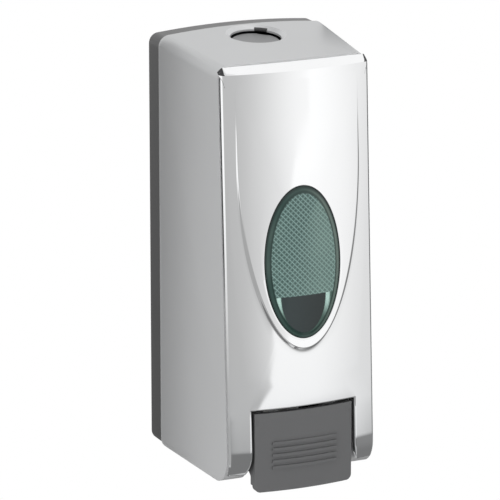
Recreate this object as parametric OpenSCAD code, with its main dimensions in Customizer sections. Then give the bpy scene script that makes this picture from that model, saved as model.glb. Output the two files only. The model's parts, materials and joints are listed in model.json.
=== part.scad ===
// Wall-mounted push soap dispenser.
// Millimetres, +Z up, the wall is the plane y = 0 and the front faces -Y.
// Origin: centre of the four wall screw holes, on the wall plane.

/* [Body] */
// Width at the wall
body_w = 78; // [74:1:90]
// Height of the cover along its side edges
body_h = 185; // [180:1:215]
// Depth from the wall to the front of the panel
body_d = 78; // [76:1:90]
// Wall of the cover
wall = 2.2; // [1.8:0.1:2.6]
// Radius of the long edges of cover and plate
edge_r = 5; // [4:0.5:7]
// Rise of the top's middle over its side edges, at the wall
top_crown = 1.6; // [0.5:0.1:3]
// Fall of the top towards the front, degrees
top_slope = 3.5; // [2:0.5:6]
// Backward lean of the front, degrees
front_lean = 3; // [1.5:0.25:4]
// Narrowing of each side from wall to front
side_taper = 4.6; // [2:0.2:5]
// Radius of the roll at the bottom of the front
roll_r = 12; // [9:0.5:14]
// Rise of the bottom towards the front
bottom_rise = 1; // [0.5:0.5:3]

/* [Back plate] */
// Visible depth of the plate
plate_d = 10.8; // [8:0.2:12]
// Floor of the plate
plate_t = 2.5; // [2:0.1:3.5]
// Step from cover to plate outline at top and bottom
plate_inset = 1.1; // [0.6:0.1:2]
// Step from cover to plate outline at the sides
plate_side = 0.3; // [0.2:0.1:0.8]
// Seam between plate and cover
seam = 0.5; // [0.4:0.1:0.8]
// Wall screw spacing across
screw_x = 44; // [36:1:50]
// Wall screw spacing in height
screw_z = 100; // [80:1:120]
// Radius of the wall screw holes
screw_r = 2.6; // [2:0.1:3]

/* [Front panel] */
// Thickness of the panel
panel_t = 2.2; // [1.6:0.1:2.6]
// Step of the panel's side edges over the cover
panel_rim = 1.2; // [0.8:0.1:2]
// Bulge of the front across its width
panel_bulge = 4.9; // [4:0.1:6]
// Radius of the panel's top edge
panel_top_r = 3.4; // [2.6:0.2:4.6]
// Width of the raised tongue
tongue_w = 56.2; // [50:0.2:58]
// Height of the tongue's rounded lower part
tongue_h = 82.9; // [76:0.1:90]
// Rise of the tongue at its lower end
tongue_rise = 1.1; // [0.6:0.1:1.6]

/* [Window] */
// Width of the oval window
window_w = 35.2; // [30:0.1:36]
// Height of the oval window
window_h = 65.7; // [56:0.1:68]
// Height of its middle over the body's middle
window_z = 3.9; // [0:0.1:6]

/* [Lever] */
// Width of the lever
lever_w = 45.4; // [43:0.2:46]
// Gap round the lever
lever_gap = 1.4; // [1:0.1:2]
// Height of the lever's top over the body's bottom
lever_top = 32.4; // [31:0.2:33]
// Overhang of the lever under the body
lever_drop = 2.7; // [1:0.1:4]
// Sheet of the lever
lever_t = 2.4; // [2:0.1:3]
// Radius of the lever rod
rod_pin_r = 1.5; // [1.2:0.1:1.8]

/* [Latch] */
// Radius of the button hole in the top
latch_hole_r = 11; // [9:0.5:12]
// Distance of the button from the wall
latch_y = 25.6; // [23:0.2:28]
// Travel of the button
button_travel = 3; // [2:0.5:3.5]

/* [Tank] */
// Width of the tank
tank_w = 60; // [54:1:61]
// Height of the tank's floor over the body's bottom
tank_floor = 50; // [48:1:54]
// Room over the tank for the filling cap and the latch
tank_room = 33; // [30:1:45]
// Stand of the rails behind the tank over the plate's floor
rail_h = 8.3; // [7.5:0.1:9]
// Wall of the tank
tank_t = 1.6; // [1.2:0.1:2]
// Radius of the filling cap
cap_r = 12; // [11:0.5:12.5]
// Distance of the filling cap in front of the button
cap_front = 8.4; // [7:0.2:12]

/* [Pump] */
// Bore of the barrel, radius
bore_r = 7.5; // [6.5:0.1:8]
// Wall of the barrel
barrel_t = 2.5; // [2:0.1:3]
// Radius of the plunger rod
rod_r = 3.5; // [3:0.1:4]
// Stroke of the plunger
stroke = 6.5; // [5:0.5:7]
// Distance from the lever rod back to the tank's outlet
pump_reach = 27.9; // [27:0.1:31]

/* [Fits] */
// Running fit of a round piece in its hole, radius
run = 0.05; // [0.02:0.01:0.1]
// Gap between pieces that move
clear = 0.3; // [0.25:0.05:0.5]

/* [Hidden] */
$fn = 64;
e = 0.01;
z_bot = -body_h / 2;
z_top = body_h / 2;
cover_y = plate_d + seam;
front_hw = body_w / 2 - side_taper;
bulge = panel_rim + panel_bulge;
front_r = front_hw * front_hw / (2 * panel_bulge) + panel_bulge / 2;
roll_z = z_bot + bottom_rise + roll_r;
front_mid = body_d - bulge + tan(front_lean) * roll_z;
front_top = z_top - (front_mid - tan(front_lean) * z_top - cover_y) * tan(top_slope);
panel_hw = front_hw - 0.15;
panel_top = front_top - 0.2;
panel_low = roll_z - 0.6 * (roll_r + panel_rim);
tongue_z = z_bot + 58.7 + tongue_h;
tongue_tilt = -asin(tongue_rise / (panel_top - (tongue_z - tongue_h)));
win_a = window_w / 2;
win_b = window_h / 2;
// planes behind the panel, measured from the cover's front plane
lens_back = -(bulge - panel_t - pow(win_a + 3, 2) / (2 * front_r) - 1.4);
ring_t = 1.8;
ring_x = win_a - 0.7;
ring_z = win_b - 5.8;
bar_low = z_bot + lever_top + 2.2;
bar_top = z_bot + 46;
// lever rod, cover pins
rod_y = -(front_mid - 5.8);
rod_z = z_bot + 40;
lever_hw = lever_w / 2;
cut_hw = lever_hw + lever_gap;
lever_face = front_mid - tan(front_lean) * (z_bot + lever_top) + bulge - 0.35;
ear_x = lever_hw - 3.2;
lug_x = lever_hw + 0.8;
lug_t = 4;
hinge_y = -28;
hinge_z = z_bot + 3.2;
hinge_r = 1;
arm_x = front_hw - 7.6;
arm_t = 4;
boss_x = body_w / 2 - side_taper * (-hinge_y - cover_y) / (front_mid - cover_y) - wall + 0.2;
// latch
crown_rear = z_top + top_crown;
front_edge_y = front_mid - sin(front_lean) * front_top;
latch_tilt = atan2(crown_rear - front_top, front_edge_y - cover_y);
latch_z = crown_rear - (latch_y - cover_y) * tan(latch_tilt);
button_r = latch_hole_r - clear;
head_top = -(wall + clear + 0.6);
head_t = 2.6;
guide_top = head_top - head_t - 8;
guide_l = 7;
stem_r = 3.4;
// tank and pump
tank_back = -(plate_t + rail_h);
tank_front = -(front_mid - 8.8);
tank_low = z_bot + tank_floor;
tank_h = body_h - tank_floor - tank_room;
tank_top = tank_low + tank_h;
neck_x = -18;
neck_y = -latch_y - cap_front;
port_y = rod_y + pump_reach;
pump_z = z_bot + 17;
barrel_r = bore_r + barrel_t;
bore_end = port_y + 3.5;
piston_y = bore_end - stroke - 6.1;
piston_l = 4.6;
barrel_front = piston_y - piston_l - 1;
head_y = rod_y + 0.8;
flange_z = tank_low - 10;

// Points of a quarter circle, from angle a0
function corner(x, z, r, a0, n = 8) = [for (i = [0:n]) [x + r * cos(a0 + 90 * i / n), z + r * sin(a0 + 90 * i / n)]];

// Upright rectangle with round corners and an arched top
function arched(hw, z0, z1, r, rise, n = 12) = concat(
    corner(-hw + r, z0 + r, r, 180),
    corner(hw - r, z0 + r, r, 270),
    corner(hw - r, z1 - r, r, 0),
    [for (i = [1:n - 1]) let (s = 1 - 2 * i / n) [s * (hw - r), z1 + rise * (1 - s * s)]],
    corner(-hw + r, z1 - r, r, 90));

function oval(a, b, z, n = 64) = [for (i = [0:n - 1]) [a * cos(360 * i / n), z + b * sin(360 * i / n)]];

// Outline of the raised tongue: half an ellipse with straight sides above it
function tongue_line(a, b, z, top, n = 48) = concat(
    [for (i = [0:n]) [a * cos(180 + 180 * i / n), z + b * sin(180 + 180 * i / n)]],
    [[a, top], [-a, top]]);

// Draws an (x, z) outline as a plate from y0 towards the front
module along_y(y0, len) {
    translate([0, y0, 0]) rotate([90, 0, 0]) linear_extrude(height = len) children();
}

// Draws a (y, z) outline as a plate from x0 to the right
module along_x(x0, len) {
    translate([x0, 0, 0]) rotate([90, 0, 90]) linear_extrude(height = len) children();
}

// A pair of such plates, left and right
module both_x(x0, len) {
    along_x(x0, len) children();
    along_x(-x0 - len, len) children();
}

// Frame of the cover's front plane: the outside is -y
module at_front() {
    translate([0, -front_mid, 0]) rotate([-front_lean, 0, 0]) children();
}

// Frame of the button hole: z = 0 is the top's outer face
module at_latch() {
    translate([0, -latch_y, latch_z]) rotate([latch_tilt, 0, 0]) children();
}

// Round bar along y, from y0 towards the front
module bar_y(x, y0, z, r, len) {
    translate([x, y0, z]) rotate([90, 0, 0]) cylinder(r = r, h = len);
}

// Round bar along x, centred
module bar_x(y, z, r, len) {
    translate([0, y, z]) rotate([0, 90, 0]) cylinder(r = r, h = len, center = true);
}

// Wire coil along +z from z = 0: rings of a hexagon swept along the helix
module coil(r, wire, len, turns) {
    rings = ceil(turns * 10);
    sides = 6;
    pitch = (len - 2 * wire) / turns;
    echo(least_gap = pitch - 2 * wire);
    pts = [for (i = [0:rings]) for (j = [0:sides - 1])
        let (t = 360 * turns * i / rings, a = 360 * j / sides, q = r + wire * cos(a))
        [q * cos(t), q * sin(t), wire + (len - 2 * wire) * i / rings + wire * sin(a)]];
    skin = [for (i = [0:rings - 1]) for (j = [0:sides - 1])
        let (k = (j + 1) % sides, p = i * sides, q = p + sides)
        each [[p + j, q + j, q + k], [p + j, q + k, p + k]]];
    ends = [[for (j = [0:sides - 1]) j], [for (j = [0:sides - 1]) rings * sides + sides - 1 - j]];
    polyhedron(points = pts, faces = concat(skin, ends));
}

// Cover form, shrunk on all sides by t, and lengthened towards the wall by ext
module cover_form(t, ext) {
    hull() {
        along_y(-cover_y + ext, 0.02)
            polygon(arched(body_w / 2 - t, z_bot + t, z_top - t, edge_r - 0.5 * t, top_crown));
        at_front() along_y(t + 0.02, 0.02)
            polygon(arched(front_hw - t, roll_z, front_top - t, edge_r - 0.5 * t, 0));
        at_front() translate([0, roll_r, roll_z]) rotate([0, 90, 0])
            cylinder(r = roll_r - t, h = 2 * (front_hw - t), center = true, $fn = 64);
    }
}

// Places of the four panel screws: x, z on the front plane, depth of the thread
function panel_screw_at() = [
    for (s = [-1, 1]) [s * 22, front_top - 5.6, 2.8],
    for (s = [-1, 1]) [s * 14, bar_low + 6, 3.8]];

module cover_shell() {
    color([0.74, 0.75, 0.76]) difference() {
        union() {
            difference() {
                cover_form(0, 0);
                cover_form(wall, 0.6);
                // open front behind the panel
                at_front() along_y(wall + 1, wall + 2)
                    polygon(arched(front_hw - 6.4, bar_top, front_top - 9.5, 4, 0));
                // space of lever and spout, open to the bottom
                translate([-cut_hw - 0.3, -body_d - 5, z_bot - 5])
                    cube([2 * cut_hw + 0.6, body_d + 5 - 31, 5 + bar_low - z_bot]);
                // space of the hinge arms
                translate([-arm_x - arm_t - clear, -31.5, z_bot - 5])
                    cube([2 * (arm_x + arm_t + clear), 32, 13]);
            }
            // lugs of the lever rod on the bar over the lever
            both_x(lug_x, lug_t) union() {
                translate([rod_y, rod_z]) circle(r = 4.5);
                polygon([[rod_y, rod_z + 4.5], [-front_mid + tan(front_lean) * (rod_z + 4.5) + 1, rod_z + 4.5],
                    [-front_mid + tan(front_lean) * (rod_z - 4) + 1, rod_z - 4], [rod_y, rod_z - 4.5]]);
            }
            // bosses of the cover pins on the side walls
            both_x(arm_x + arm_t + clear, boss_x - arm_x - arm_t - clear)
                translate([hinge_y, hinge_z]) circle(r = 2.1);
            // ribs that stiffen the side walls along the front
            both_x(front_hw - wall - 1.2, 1.6)
                polygon([[-front_mid + 12, bar_top], [-front_mid + 12, front_top - 14], [-front_mid + 5, front_top - 14],
                    [-front_mid + 2, bar_top]]);
        }
        at_latch() translate([0, 0, -wall - 3]) cylinder(r = latch_hole_r, h = wall + 8);
        at_latch() translate([0, 0, -1.5]) cylinder(r1 = latch_hole_r, r2 = latch_hole_r + 3.4, h = 2.6);
        bar_x(rod_y, rod_z, rod_pin_r + 0.02, 2 * (lug_x + lug_t) + 2);
        for (s = [-1, 1])
            translate([s * (arm_x + 4.2), hinge_y, hinge_z]) rotate([0, 90, 0])
                cylinder(r = hinge_r + 0.02, h = 6.4, center = true);
        at_front() for (p = panel_screw_at()) bar_y(p[0], wall + 2, p[1], 1.7, wall + 4);
    }
}

// Side view of the panel as turned round the axis of its bulge, shrunk by t
module panel_profile(t) {
    top_c = panel_top - panel_top_r;
    low_r = roll_r + panel_rim;
    translate([front_r - 30, roll_z]) square([30 - t, top_c - roll_z]);
    translate([front_r - low_r, roll_z]) circle(r = low_r - t);
    translate([front_r - 30, roll_z - low_r + t]) square([30 - low_r, low_r]);
    translate([front_r - panel_top_r, top_c]) circle(r = panel_top_r - t);
    translate([front_r - 30, top_c - 1]) square([30 - panel_top_r, panel_top_r + 1 - t]);
}

// Panel as a thick body, shrunk by t
module panel_turned(t) {
    translate([0, front_r - bulge, 0]) rotate([0, 0, -114]) rotate_extrude(angle = 48, $fn = 180) difference() {
        panel_profile(t);
        translate([front_r - 60, -body_h]) square([44, 2 * body_h]);
    }
}

// Bulged front surface as a solid of radius front_r + grow, following the tongue's rise if raised
module bulge_solid(grow, raised) {
    tilt = raised ? tongue_tilt : 0;
    translate([0, front_r - bulge, panel_top]) rotate([tilt, 0, 0])
        translate([0, 0, -body_h - 20]) cylinder(r = front_r + grow, h = body_h + 60, $fn = 180);
}

module front_panel() {
    color([0.86, 0.87, 0.88]) at_front() difference() {
        union() {
            difference() {
                intersection() {
                    panel_turned(0);
                    translate([-panel_hw, -20, panel_low]) cube([2 * panel_hw, 21.5, panel_top - panel_low + 5]);
                }
                // hollow between the thicker side rims
                intersection() {
                    panel_turned(panel_t);
                    translate([-panel_hw + 6.2, -20, z_bot - 20]) cube([2 * panel_hw - 12.4, 40, body_h + 40]);
                }
            }
            // raised tongue
            intersection() {
                along_y(2, 20) polygon(tongue_line(tongue_w / 2, tongue_h, tongue_z, panel_top - 6.5));
                difference() {
                    bulge_solid(0.2, true);
                    bulge_solid(-panel_t / 2, false);
                }
            }
            // screw bosses
            for (p = panel_screw_at()) bar_y(p[0], 0, p[1], 3, p[2] + 0.2);
            for (s = [-1, 1], k = [-1, 1])
                bar_y(s * ring_x, lens_back, window_z + k * ring_z, 2.5, 3.4);
        }
        // cover behind the panel
        translate([-body_w, 0, roll_z]) cube([2 * body_w, 20, body_h]);
        bar_x(roll_r, roll_z, roll_r, 2 * body_w);
        // side edges, broken
        for (s = [-1, 1]) translate([s * panel_hw, -panel_rim - 0.1, 0]) rotate([0, 0, 45])
            translate([-0.55, -0.55, -body_h]) cube([1.1, 1.1, 2 * body_h]);
        along_y(5, 30) polygon(oval(win_a, win_b, window_z));
        translate([-cut_hw, -30, z_bot - 20]) cube([2 * cut_hw, 60, lever_top + 1.1 + 20]);
        for (p = panel_screw_at()) bar_y(p[0], 1, p[1], 1.55, p[2] + 1.1);
        for (s = [-1, 1], k = [-1, 1])
            bar_y(s * ring_x, lens_back + 1, window_z + k * ring_z, 1.3, 3.8);
    }
}

module window_lens() {
    color([0.42, 0.56, 0.50, 0.75]) at_front() difference() {
        union() {
            // face in the hole, with a stepped rim
            intersection() {
                along_y(lens_back, 20) polygon(oval(win_a - 0.15, win_b - 0.15, window_z));
                bulge_solid(0.4, true);
            }
            intersection() {
                along_y(lens_back, 20) polygon(oval(win_a - 2.3, win_b - 2.3, window_z));
                bulge_solid(1.2, true);
            }
            // flange behind the panel
            intersection() {
                along_y(lens_back, 10) polygon(oval(win_a + 3, win_b + 3, window_z));
                bulge_solid(-panel_t, false);
            }
        }
        intersection() {
            along_y(5, 20) polygon(oval(win_a - 3.5, win_b - 3.5, window_z));
            bulge_solid(-1, true);
        }
        // corners left free for the ring's screw bosses
        for (s = [-1, 1], k = [-1, 1])
            bar_y(s * ring_x, 5, window_z + k * ring_z, 2.5 + clear, 12);
    }
}

module lens_retainer() {
    color([0.30, 0.31, 0.32]) at_front() along_y(lens_back + ring_t, ring_t) difference() {
        union() {
            polygon(oval(win_a + 3, win_b + 3, window_z));
            for (s = [-1, 1], k = [-1, 1]) translate([s * ring_x, window_z + k * ring_z]) circle(r = 3.6);
        }
        polygon(oval(win_a - 3.5, win_b - 3.5, window_z));
        for (s = [-1, 1], k = [-1, 1]) translate([s * ring_x, window_z + k * ring_z]) circle(r = 1.45);
    }
}

module retainer_screws() {
    color([0.62, 0.63, 0.65]) at_front() for (s = [-1, 1], k = [-1, 1]) {
        x = s * ring_x;
        z = window_z + k * ring_z;
        difference() {
            union() {
                bar_y(x, lens_back + ring_t, z, 1.25, ring_t + 2.4);
                bar_y(x, lens_back + ring_t + 1.6, z, 2.4, 1.6);
            }
            for (a = [0, 90]) translate([x, lens_back + ring_t + 1.6, z]) rotate([0, a, 0])
                cube([2.6, 1.6, 0.6], center = true);
        }
    }
}

module panel_screws() {
    color([0.62, 0.63, 0.65]) at_front() for (p = panel_screw_at()) difference() {
        union() {
            bar_y(p[0], wall + 1, p[1], 1.5, wall + p[2] + 0.8);
            bar_y(p[0], wall + 2.02, p[1], 2.8, 2);
        }
        for (a = [0, 90]) translate([p[0], wall + 2, p[1]]) rotate([0, a, 0]) cube([3, 1.8, 0.7], center = true);
    }
}

// Side view of the lever's flanges
module flange_line() {
    y0 = -lever_face + lever_t + 1.4;
    translate([rod_y, rod_z]) circle(r = 4.5);
    polygon(concat(
        [[y0 - 1.6, z_bot + lever_top - 0.4], [rod_y - 4.9, z_bot + lever_top + 0.4], [rod_y - 4.5, rod_z],
         [rod_y + 4.5, rod_z]],
        [for (i = [12:-1:0]) let (t = 90 * i / 12)
            [y0 + 2.6 + (rod_y + 3.6 - y0 - 2.6) * (1 - cos(t)), z_bot + (rod_z - 8 - z_bot) * sin(t)]],
        [[y0 - 1.6, z_bot]]));
}

module push_lever() {
    color([0.36, 0.37, 0.38]) difference() {
        union() {
            // curved front
            intersection() {
                along_y(0, body_d + 20) union() {
                    translate([-lever_hw, z_bot - lever_drop + 2.5])
                        square([lever_w, lever_top + lever_drop - 2.5]);
                    translate([-lever_hw + 2.5, z_bot - lever_drop]) square([lever_w - 5, 5]);
                    for (s = [-1, 1])
                        translate([s * (lever_hw - 2.5), z_bot - lever_drop + 2.5]) circle(r = 2.5);
                }
                translate([0, front_r - lever_face, z_bot - 20]) difference() {
                    cylinder(r = front_r, h = 80, $fn = 180);
                    translate([0, 0, -1]) cylinder(r = front_r - lever_t, h = 82, $fn = 180);
                }
            }
            // grip bars
            intersection() {
                along_y(0, body_d + 20) for (i = [0:4])
                    translate([-15, z_bot + 7.4 + 2.7 * i]) square([30, 1.3]);
                translate([0, front_r - lever_face, z_bot - 20]) difference() {
                    cylinder(r = front_r + 0.6, h = 80, $fn = 180);
                    translate([0, 0, -1]) cylinder(r = front_r - 1, h = 82, $fn = 180);
                }
            }
            both_x(lever_hw - lever_t, lever_t) flange_line();
            both_x(ear_x, 3.2) translate([rod_y, rod_z]) circle(r = 4.5);
            // stiffening web under the top edge
            translate([-lever_hw + 1, -lever_face + lever_t - 0.6, z_bot + lever_top - 5])
                cube([lever_w - 2, 5.5, 1.8]);
            // pad that meets the plunger
            bar_y(0, head_y - clear - 5 , pump_z, 5, lever_face + head_y - clear - 5 - 1.2);
            translate([0, head_y - clear - 5, pump_z]) rotate([90, 0, 0]) sphere(r = 5);
        }
        bar_x(rod_y, rod_z, rod_pin_r + run, lever_w + 10);
    }
}

module lever_pin() {
    color([0.70, 0.71, 0.73]) bar_x(rod_y, rod_z, rod_pin_r, 2 * (lug_x + lug_t + 2.2));
}

module pin_clips() {
    color([0.30, 0.31, 0.33]) for (s = [-1, 1])
        translate([s * (lug_x + lug_t + 0.7), rod_y, rod_z]) rotate([0, 90, 0]) difference() {
            cylinder(r = 3.2, h = 0.9, center = true);
            cylinder(r = rod_pin_r, h = 3, center = true);
            translate([0, 2.4, 0]) cube([1.6, 4, 3], center = true);
        }
}

module hinge_pins() {
    color([0.70, 0.71, 0.73]) for (s = [-1, 1])
        translate([s * (arm_x + 3.8), hinge_y, hinge_z]) rotate([0, 90, 0])
            cylinder(r = hinge_r, h = 7, center = true);
}

module back_plate() {
    hw = body_w / 2 - plate_side;
    z0 = z_bot + plate_inset;
    z1 = z_top - plate_inset;
    color([0.33, 0.34, 0.35]) difference() {
        union() {
            difference() {
                along_y(0, plate_d) polygon(arched(hw, z0, z1, edge_r - 0.6, top_crown));
                along_y(-plate_t, plate_d) polygon(arched(hw - wall, z0 + wall, z1 - wall, edge_r - 2, top_crown));
            }
            // pads round the wall screw holes
            for (s = [-1, 1], k = [-1, 1])
                bar_y(s * screw_x / 2, -plate_t + 0.5, k * screw_z / 2, screw_r + 3.4, 2);
            // rails behind the tank
            for (s = [-1, 1]) translate([s * 12 - 0.9, tank_back, tank_low - 12])
                cube([1.8, -tank_back - plate_t + 0.5, tank_h - 6]);
            for (z = [tank_low + 22, tank_top - 32]) translate([-hw + 1, -plate_t - 3, z])
                cube([2 * hw - 2, 3.5, 1.8]);
            // shelves under the tank
            both_x(19, 6) polygon([[-plate_t + 0.5, tank_low], [port_y + 6, tank_low], [port_y + 6, tank_low - 3],
                [-plate_t - 6, tank_low - 20], [-plate_t + 0.5, tank_low - 20]]);
            // arms of the cover pins
            both_x(arm_x, arm_t) union() {
                translate([hinge_y, hinge_z]) circle(r = 2.4);
                polygon([[-plate_t + 0.5, hinge_z + 8], [-plate_d, hinge_z + 6], [hinge_y, hinge_z + 2.4],
                    [hinge_y, hinge_z - 2.4], [-plate_d - 2, hinge_z - 1.6], [-plate_t + 0.5, hinge_z - 1.6]]);
            }
            // lips that centre the cover
            both_x(body_w / 2 - wall - 2.8, 1.9) polygon([[-plate_t + 0.5, z_bot + 32], [-cover_y - 2.6, z_bot + 34],
                [-cover_y - 2.6, z_top - 22], [-plate_t + 0.5, z_top - 20]]);
            // pads of the latch bracket
            for (s = [-1, 1]) bar_y(s * 10, -plate_t + 0.5, bracket_z(), 3.6, 4);
        }
        for (s = [-1, 1], k = [-1, 1])
            bar_y(s * screw_x / 2, 2, k * screw_z / 2, screw_r, 20);
        for (s = [-1, 1]) bar_y(s * 10, -0.8, bracket_z(), 1.45, 10);
        for (s = [-1, 1]) translate([s * (arm_x + arm_t / 2), hinge_y, hinge_z]) rotate([0, 90, 0])
            cylinder(r = hinge_r + run, h = arm_t + 2, center = true);
    }
}

// Height of the bracket's foot on the plate
function bracket_z() = latch_z + (latch_y - 7) * sin(latch_tilt) + (guide_top - 4) * cos(latch_tilt);

module latch_bracket() {
    y0 = -plate_t - 3.5;
    color([0.33, 0.34, 0.35]) difference() {
        union() {
            translate([-14, y0 - 2.5, bracket_z() - 6]) cube([28, 2.5, 12]);
            intersection() {
                at_latch() translate([-5, -0.5, guide_top - 6]) cube([10, latch_y, 4]);
                translate([-20, -latch_y - 10, -body_h]) cube([40, latch_y + 10 + y0 - 0.5, 2 * body_h]);
            }
            at_latch() translate([0, 0, guide_top - guide_l]) cylinder(r = 6, h = guide_l);
        }
        at_latch() translate([0, 0, guide_top - guide_l - 1]) cylinder(r = stem_r + run, h = guide_l + 2);
        for (s = [-1, 1]) bar_y(s * 10, y0 + 1, bracket_z(), 1.6, 6);
    }
}

module bracket_screws() {
    y0 = -plate_t - 6;
    color([0.62, 0.63, 0.65]) for (s = [-1, 1]) difference() {
        union() {
            bar_y(s * 10, y0 + 7, bracket_z(), 1.4, 7);
            bar_y(s * 10, y0, bracket_z(), 2.7, 1.8);
        }
        for (a = [0, 90]) translate([s * 10, y0 - 1.8, bracket_z()]) rotate([0, a, 0])
            cube([2.8, 1.6, 0.7], center = true);
    }
}

module release_button() {
    color([0.66, 0.67, 0.68]) at_latch() difference() {
        union() {
            translate([0, 0, head_top - head_t]) cylinder(r = button_r, h = head_t - 0.5);
            translate([0, 0, head_top - 0.5]) cylinder(r1 = button_r, r2 = button_r - 0.5, h = 0.5);
            translate([0, 0, guide_top - guide_l - 4]) cylinder(r = stem_r, h = guide_l + 4 + 8 + 0.5);
        }
        translate([0, 0, guide_top - guide_l - clear - 1]) difference() {
            cylinder(r = stem_r + 1, h = 1);
            translate([0, 0, -1]) cylinder(r = stem_r - 0.8, h = 3);
        }
        // key notch in the rim, towards the wall on the right
        rotate([0, 0, 48]) translate([button_r - 1.3, -2.6, head_top - 1]) cube([4, 5.2, 4]);
    }
}

module button_clip() {
    color([0.30, 0.31, 0.33]) at_latch() translate([0, 0, guide_top - guide_l - clear - 1]) difference() {
        cylinder(r = 5.4, h = 1);
        translate([0, 0, -1]) cylinder(r = stem_r - 0.8, h = 3);
        translate([-2, -10, -1]) cube([4, 10, 3]);
    }
}

module button_spring() {
    color([0.70, 0.71, 0.73]) at_latch() translate([0, 0, guide_top]) coil(4.6, 0.45, 8, 2.5);
}

module rounded_block(hw, y0, y1, r) {
    translate([-hw + r, y1]) square([2 * hw - 2 * r, y0 - y1]);
    translate([-hw, y1 + r]) square([2 * hw, y0 - y1 - 2 * r]);
    for (s = [-1, 1], y = [y0 - r, y1 + r]) translate([s * (hw - r), y]) circle(r = r);
}

module tank() {
    color([0.88, 0.90, 0.89, 0.6]) difference() {
        union() {
            translate([0, 0, tank_low]) linear_extrude(height = tank_h)
                rounded_block(tank_w / 2, tank_back, tank_front, 6);
            translate([neck_x, neck_y, tank_top - 0.5]) cylinder(r = cap_r - 1.5, h = 6.5);
            translate([0, port_y, tank_low - 8]) cylinder(r = 10, h = 8.5);
        }
        translate([0, 0, tank_low + tank_t]) linear_extrude(height = tank_h - 2 * tank_t)
            rounded_block(tank_w / 2 - tank_t, tank_back - tank_t, tank_front + tank_t, 6 - tank_t);
        translate([neck_x, neck_y, tank_top - 4]) cylinder(r = cap_r - 3.5, h = 12);
        translate([0, port_y, tank_low - 9]) cylinder(r = 5, h = 14);
    }
}

module tank_cap() {
    color([0.36, 0.37, 0.38]) translate([neck_x, neck_y, tank_top + 7]) difference() {
        union() {
            cylinder(r = cap_r, h = 2.6);
            translate([0, 0, 2.6]) cylinder(r1 = cap_r, r2 = cap_r - 0.6, h = 0.6);
            translate([0, 0, -6]) cylinder(r = cap_r - 3.6, h = 6.5);
            translate([-7, -1.5, 2]) cube([14, 3, 3.8]);
        }
        translate([0, 0, -7]) cylinder(r = cap_r - 5.4, h = 7);
    }
}

module cap_seal() {
    color([0.20, 0.20, 0.21]) translate([neck_x, neck_y, tank_top + 6]) difference() {
        cylinder(r = cap_r - 1.5, h = 1);
        translate([0, 0, -1]) cylinder(r = cap_r - 3.6, h = 3);
    }
}

module tank_seal() {
    color([0.20, 0.20, 0.21]) translate([0, port_y, flange_z]) difference() {
        cylinder(r = 9.8, h = 2);
        translate([0, 0, -1]) cylinder(r = 5.2, h = 4);
    }
}

module union_nut() {
    color([0.85, 0.86, 0.86]) translate([0, port_y, flange_z - 6]) difference() {
        cylinder(r = 13.4, h = 13.5);
        translate([0, 0, 3]) cylinder(r = 10.1, h = 12);
        translate([0, 0, -1]) cylinder(r = 7.15, h = 6);
        // finger grips
        for (a = [0:30:330]) rotate([0, 0, a]) translate([14.6, 0, 1.5]) cylinder(r = 1.8, h = 14);
    }
}

module pump_body() {
    color([0.90, 0.91, 0.91]) difference() {
        union() {
            bar_y(0, bore_end + 3, pump_z, barrel_r, bore_end + 3 - barrel_front - 6);
            bar_y(0, barrel_front + 7, pump_z, barrel_r - 1, 7);
            translate([0, port_y, pump_z]) cylinder(r = 7, h = flange_z - pump_z);
            translate([0, port_y, flange_z - 3]) cylinder(r = 10, h = 3);
            translate([0, port_y, pump_z - barrel_r - 5]) cylinder(r = 5, h = barrel_r + 5);
        }
        bar_y(0, bore_end, pump_z, bore_r, 40);
        translate([0, port_y, pump_z]) cylinder(r = 2.5, h = 40);
        translate([0, port_y, flange_z - 1.6]) cylinder(r = 6, h = 10);
        translate([0, port_y, pump_z - 40]) cylinder(r = 2, h = 40);
    }
}

module inlet_valve() {
    color([0.80, 0.66, 0.60]) translate([0, port_y, flange_z - 1.6]) difference() {
        cylinder(r = 5.95, h = 1.2);
        difference() {
            translate([0, 0, -1]) cylinder(r = 3.9, h = 4);
            translate([0, 0, -2]) cylinder(r = 3.4, h = 6);
            translate([-1.4, 0, -2]) cube([2.8, 6, 6]);
        }
    }
}

module pump_gland() {
    color([0.85, 0.86, 0.86]) difference() {
        bar_y(0, barrel_front + 5, pump_z, barrel_r + 1.4, 7.4);
        bar_y(0, barrel_front + 6, pump_z, barrel_r - 1 + run, 6);
        bar_y(0, barrel_front + 1, pump_z, bore_r + 0.8, 2.2);
        bar_y(0, barrel_front + 1, pump_z, rod_r + run, 10);
        for (a = [0:30:330]) translate([0, barrel_front, pump_z]) rotate([90, a, 0])
            translate([barrel_r + 2.4, 0, -4]) cylinder(r = 1.5, h = 9);
    }
}

module rod_seal() {
    color([0.20, 0.20, 0.21]) difference() {
        bar_y(0, barrel_front, pump_z, bore_r + 0.75, 1.2);
        bar_y(0, barrel_front + 1, pump_z, rod_r + 0.03, 4);
    }
}

module plunger() {
    color([0.90, 0.91, 0.91]) difference() {
        union() {
            bar_y(0, piston_y, pump_z, bore_r - run - 0.01, piston_l);
            bar_y(0, piston_y + 2, pump_z, 3.4, 2.5);
            bar_y(0, piston_y - 1, pump_z, rod_r, piston_y - 1 - head_y - 1);
            bar_y(0, head_y + 2.6, pump_z, 7, 2.6);
        }
        difference() {
            bar_y(0, piston_y - 1.5, pump_z, bore_r + 1, 2);
            bar_y(0, piston_y, pump_z, bore_r - 1.5, 6);
        }
    }
}

module piston_seal() {
    color([0.20, 0.20, 0.21]) difference() {
        bar_y(0, piston_y - 1.5, pump_z, bore_r - 0.02, 2);
        bar_y(0, piston_y, pump_z, bore_r - 1.5, 6);
    }
}

module pump_spring() {
    color([0.70, 0.71, 0.73]) translate([0, bore_end, pump_z]) rotate([90, 0, 0])
        coil(4.8, 0.5, bore_end - piston_y, 4);
}

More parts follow.
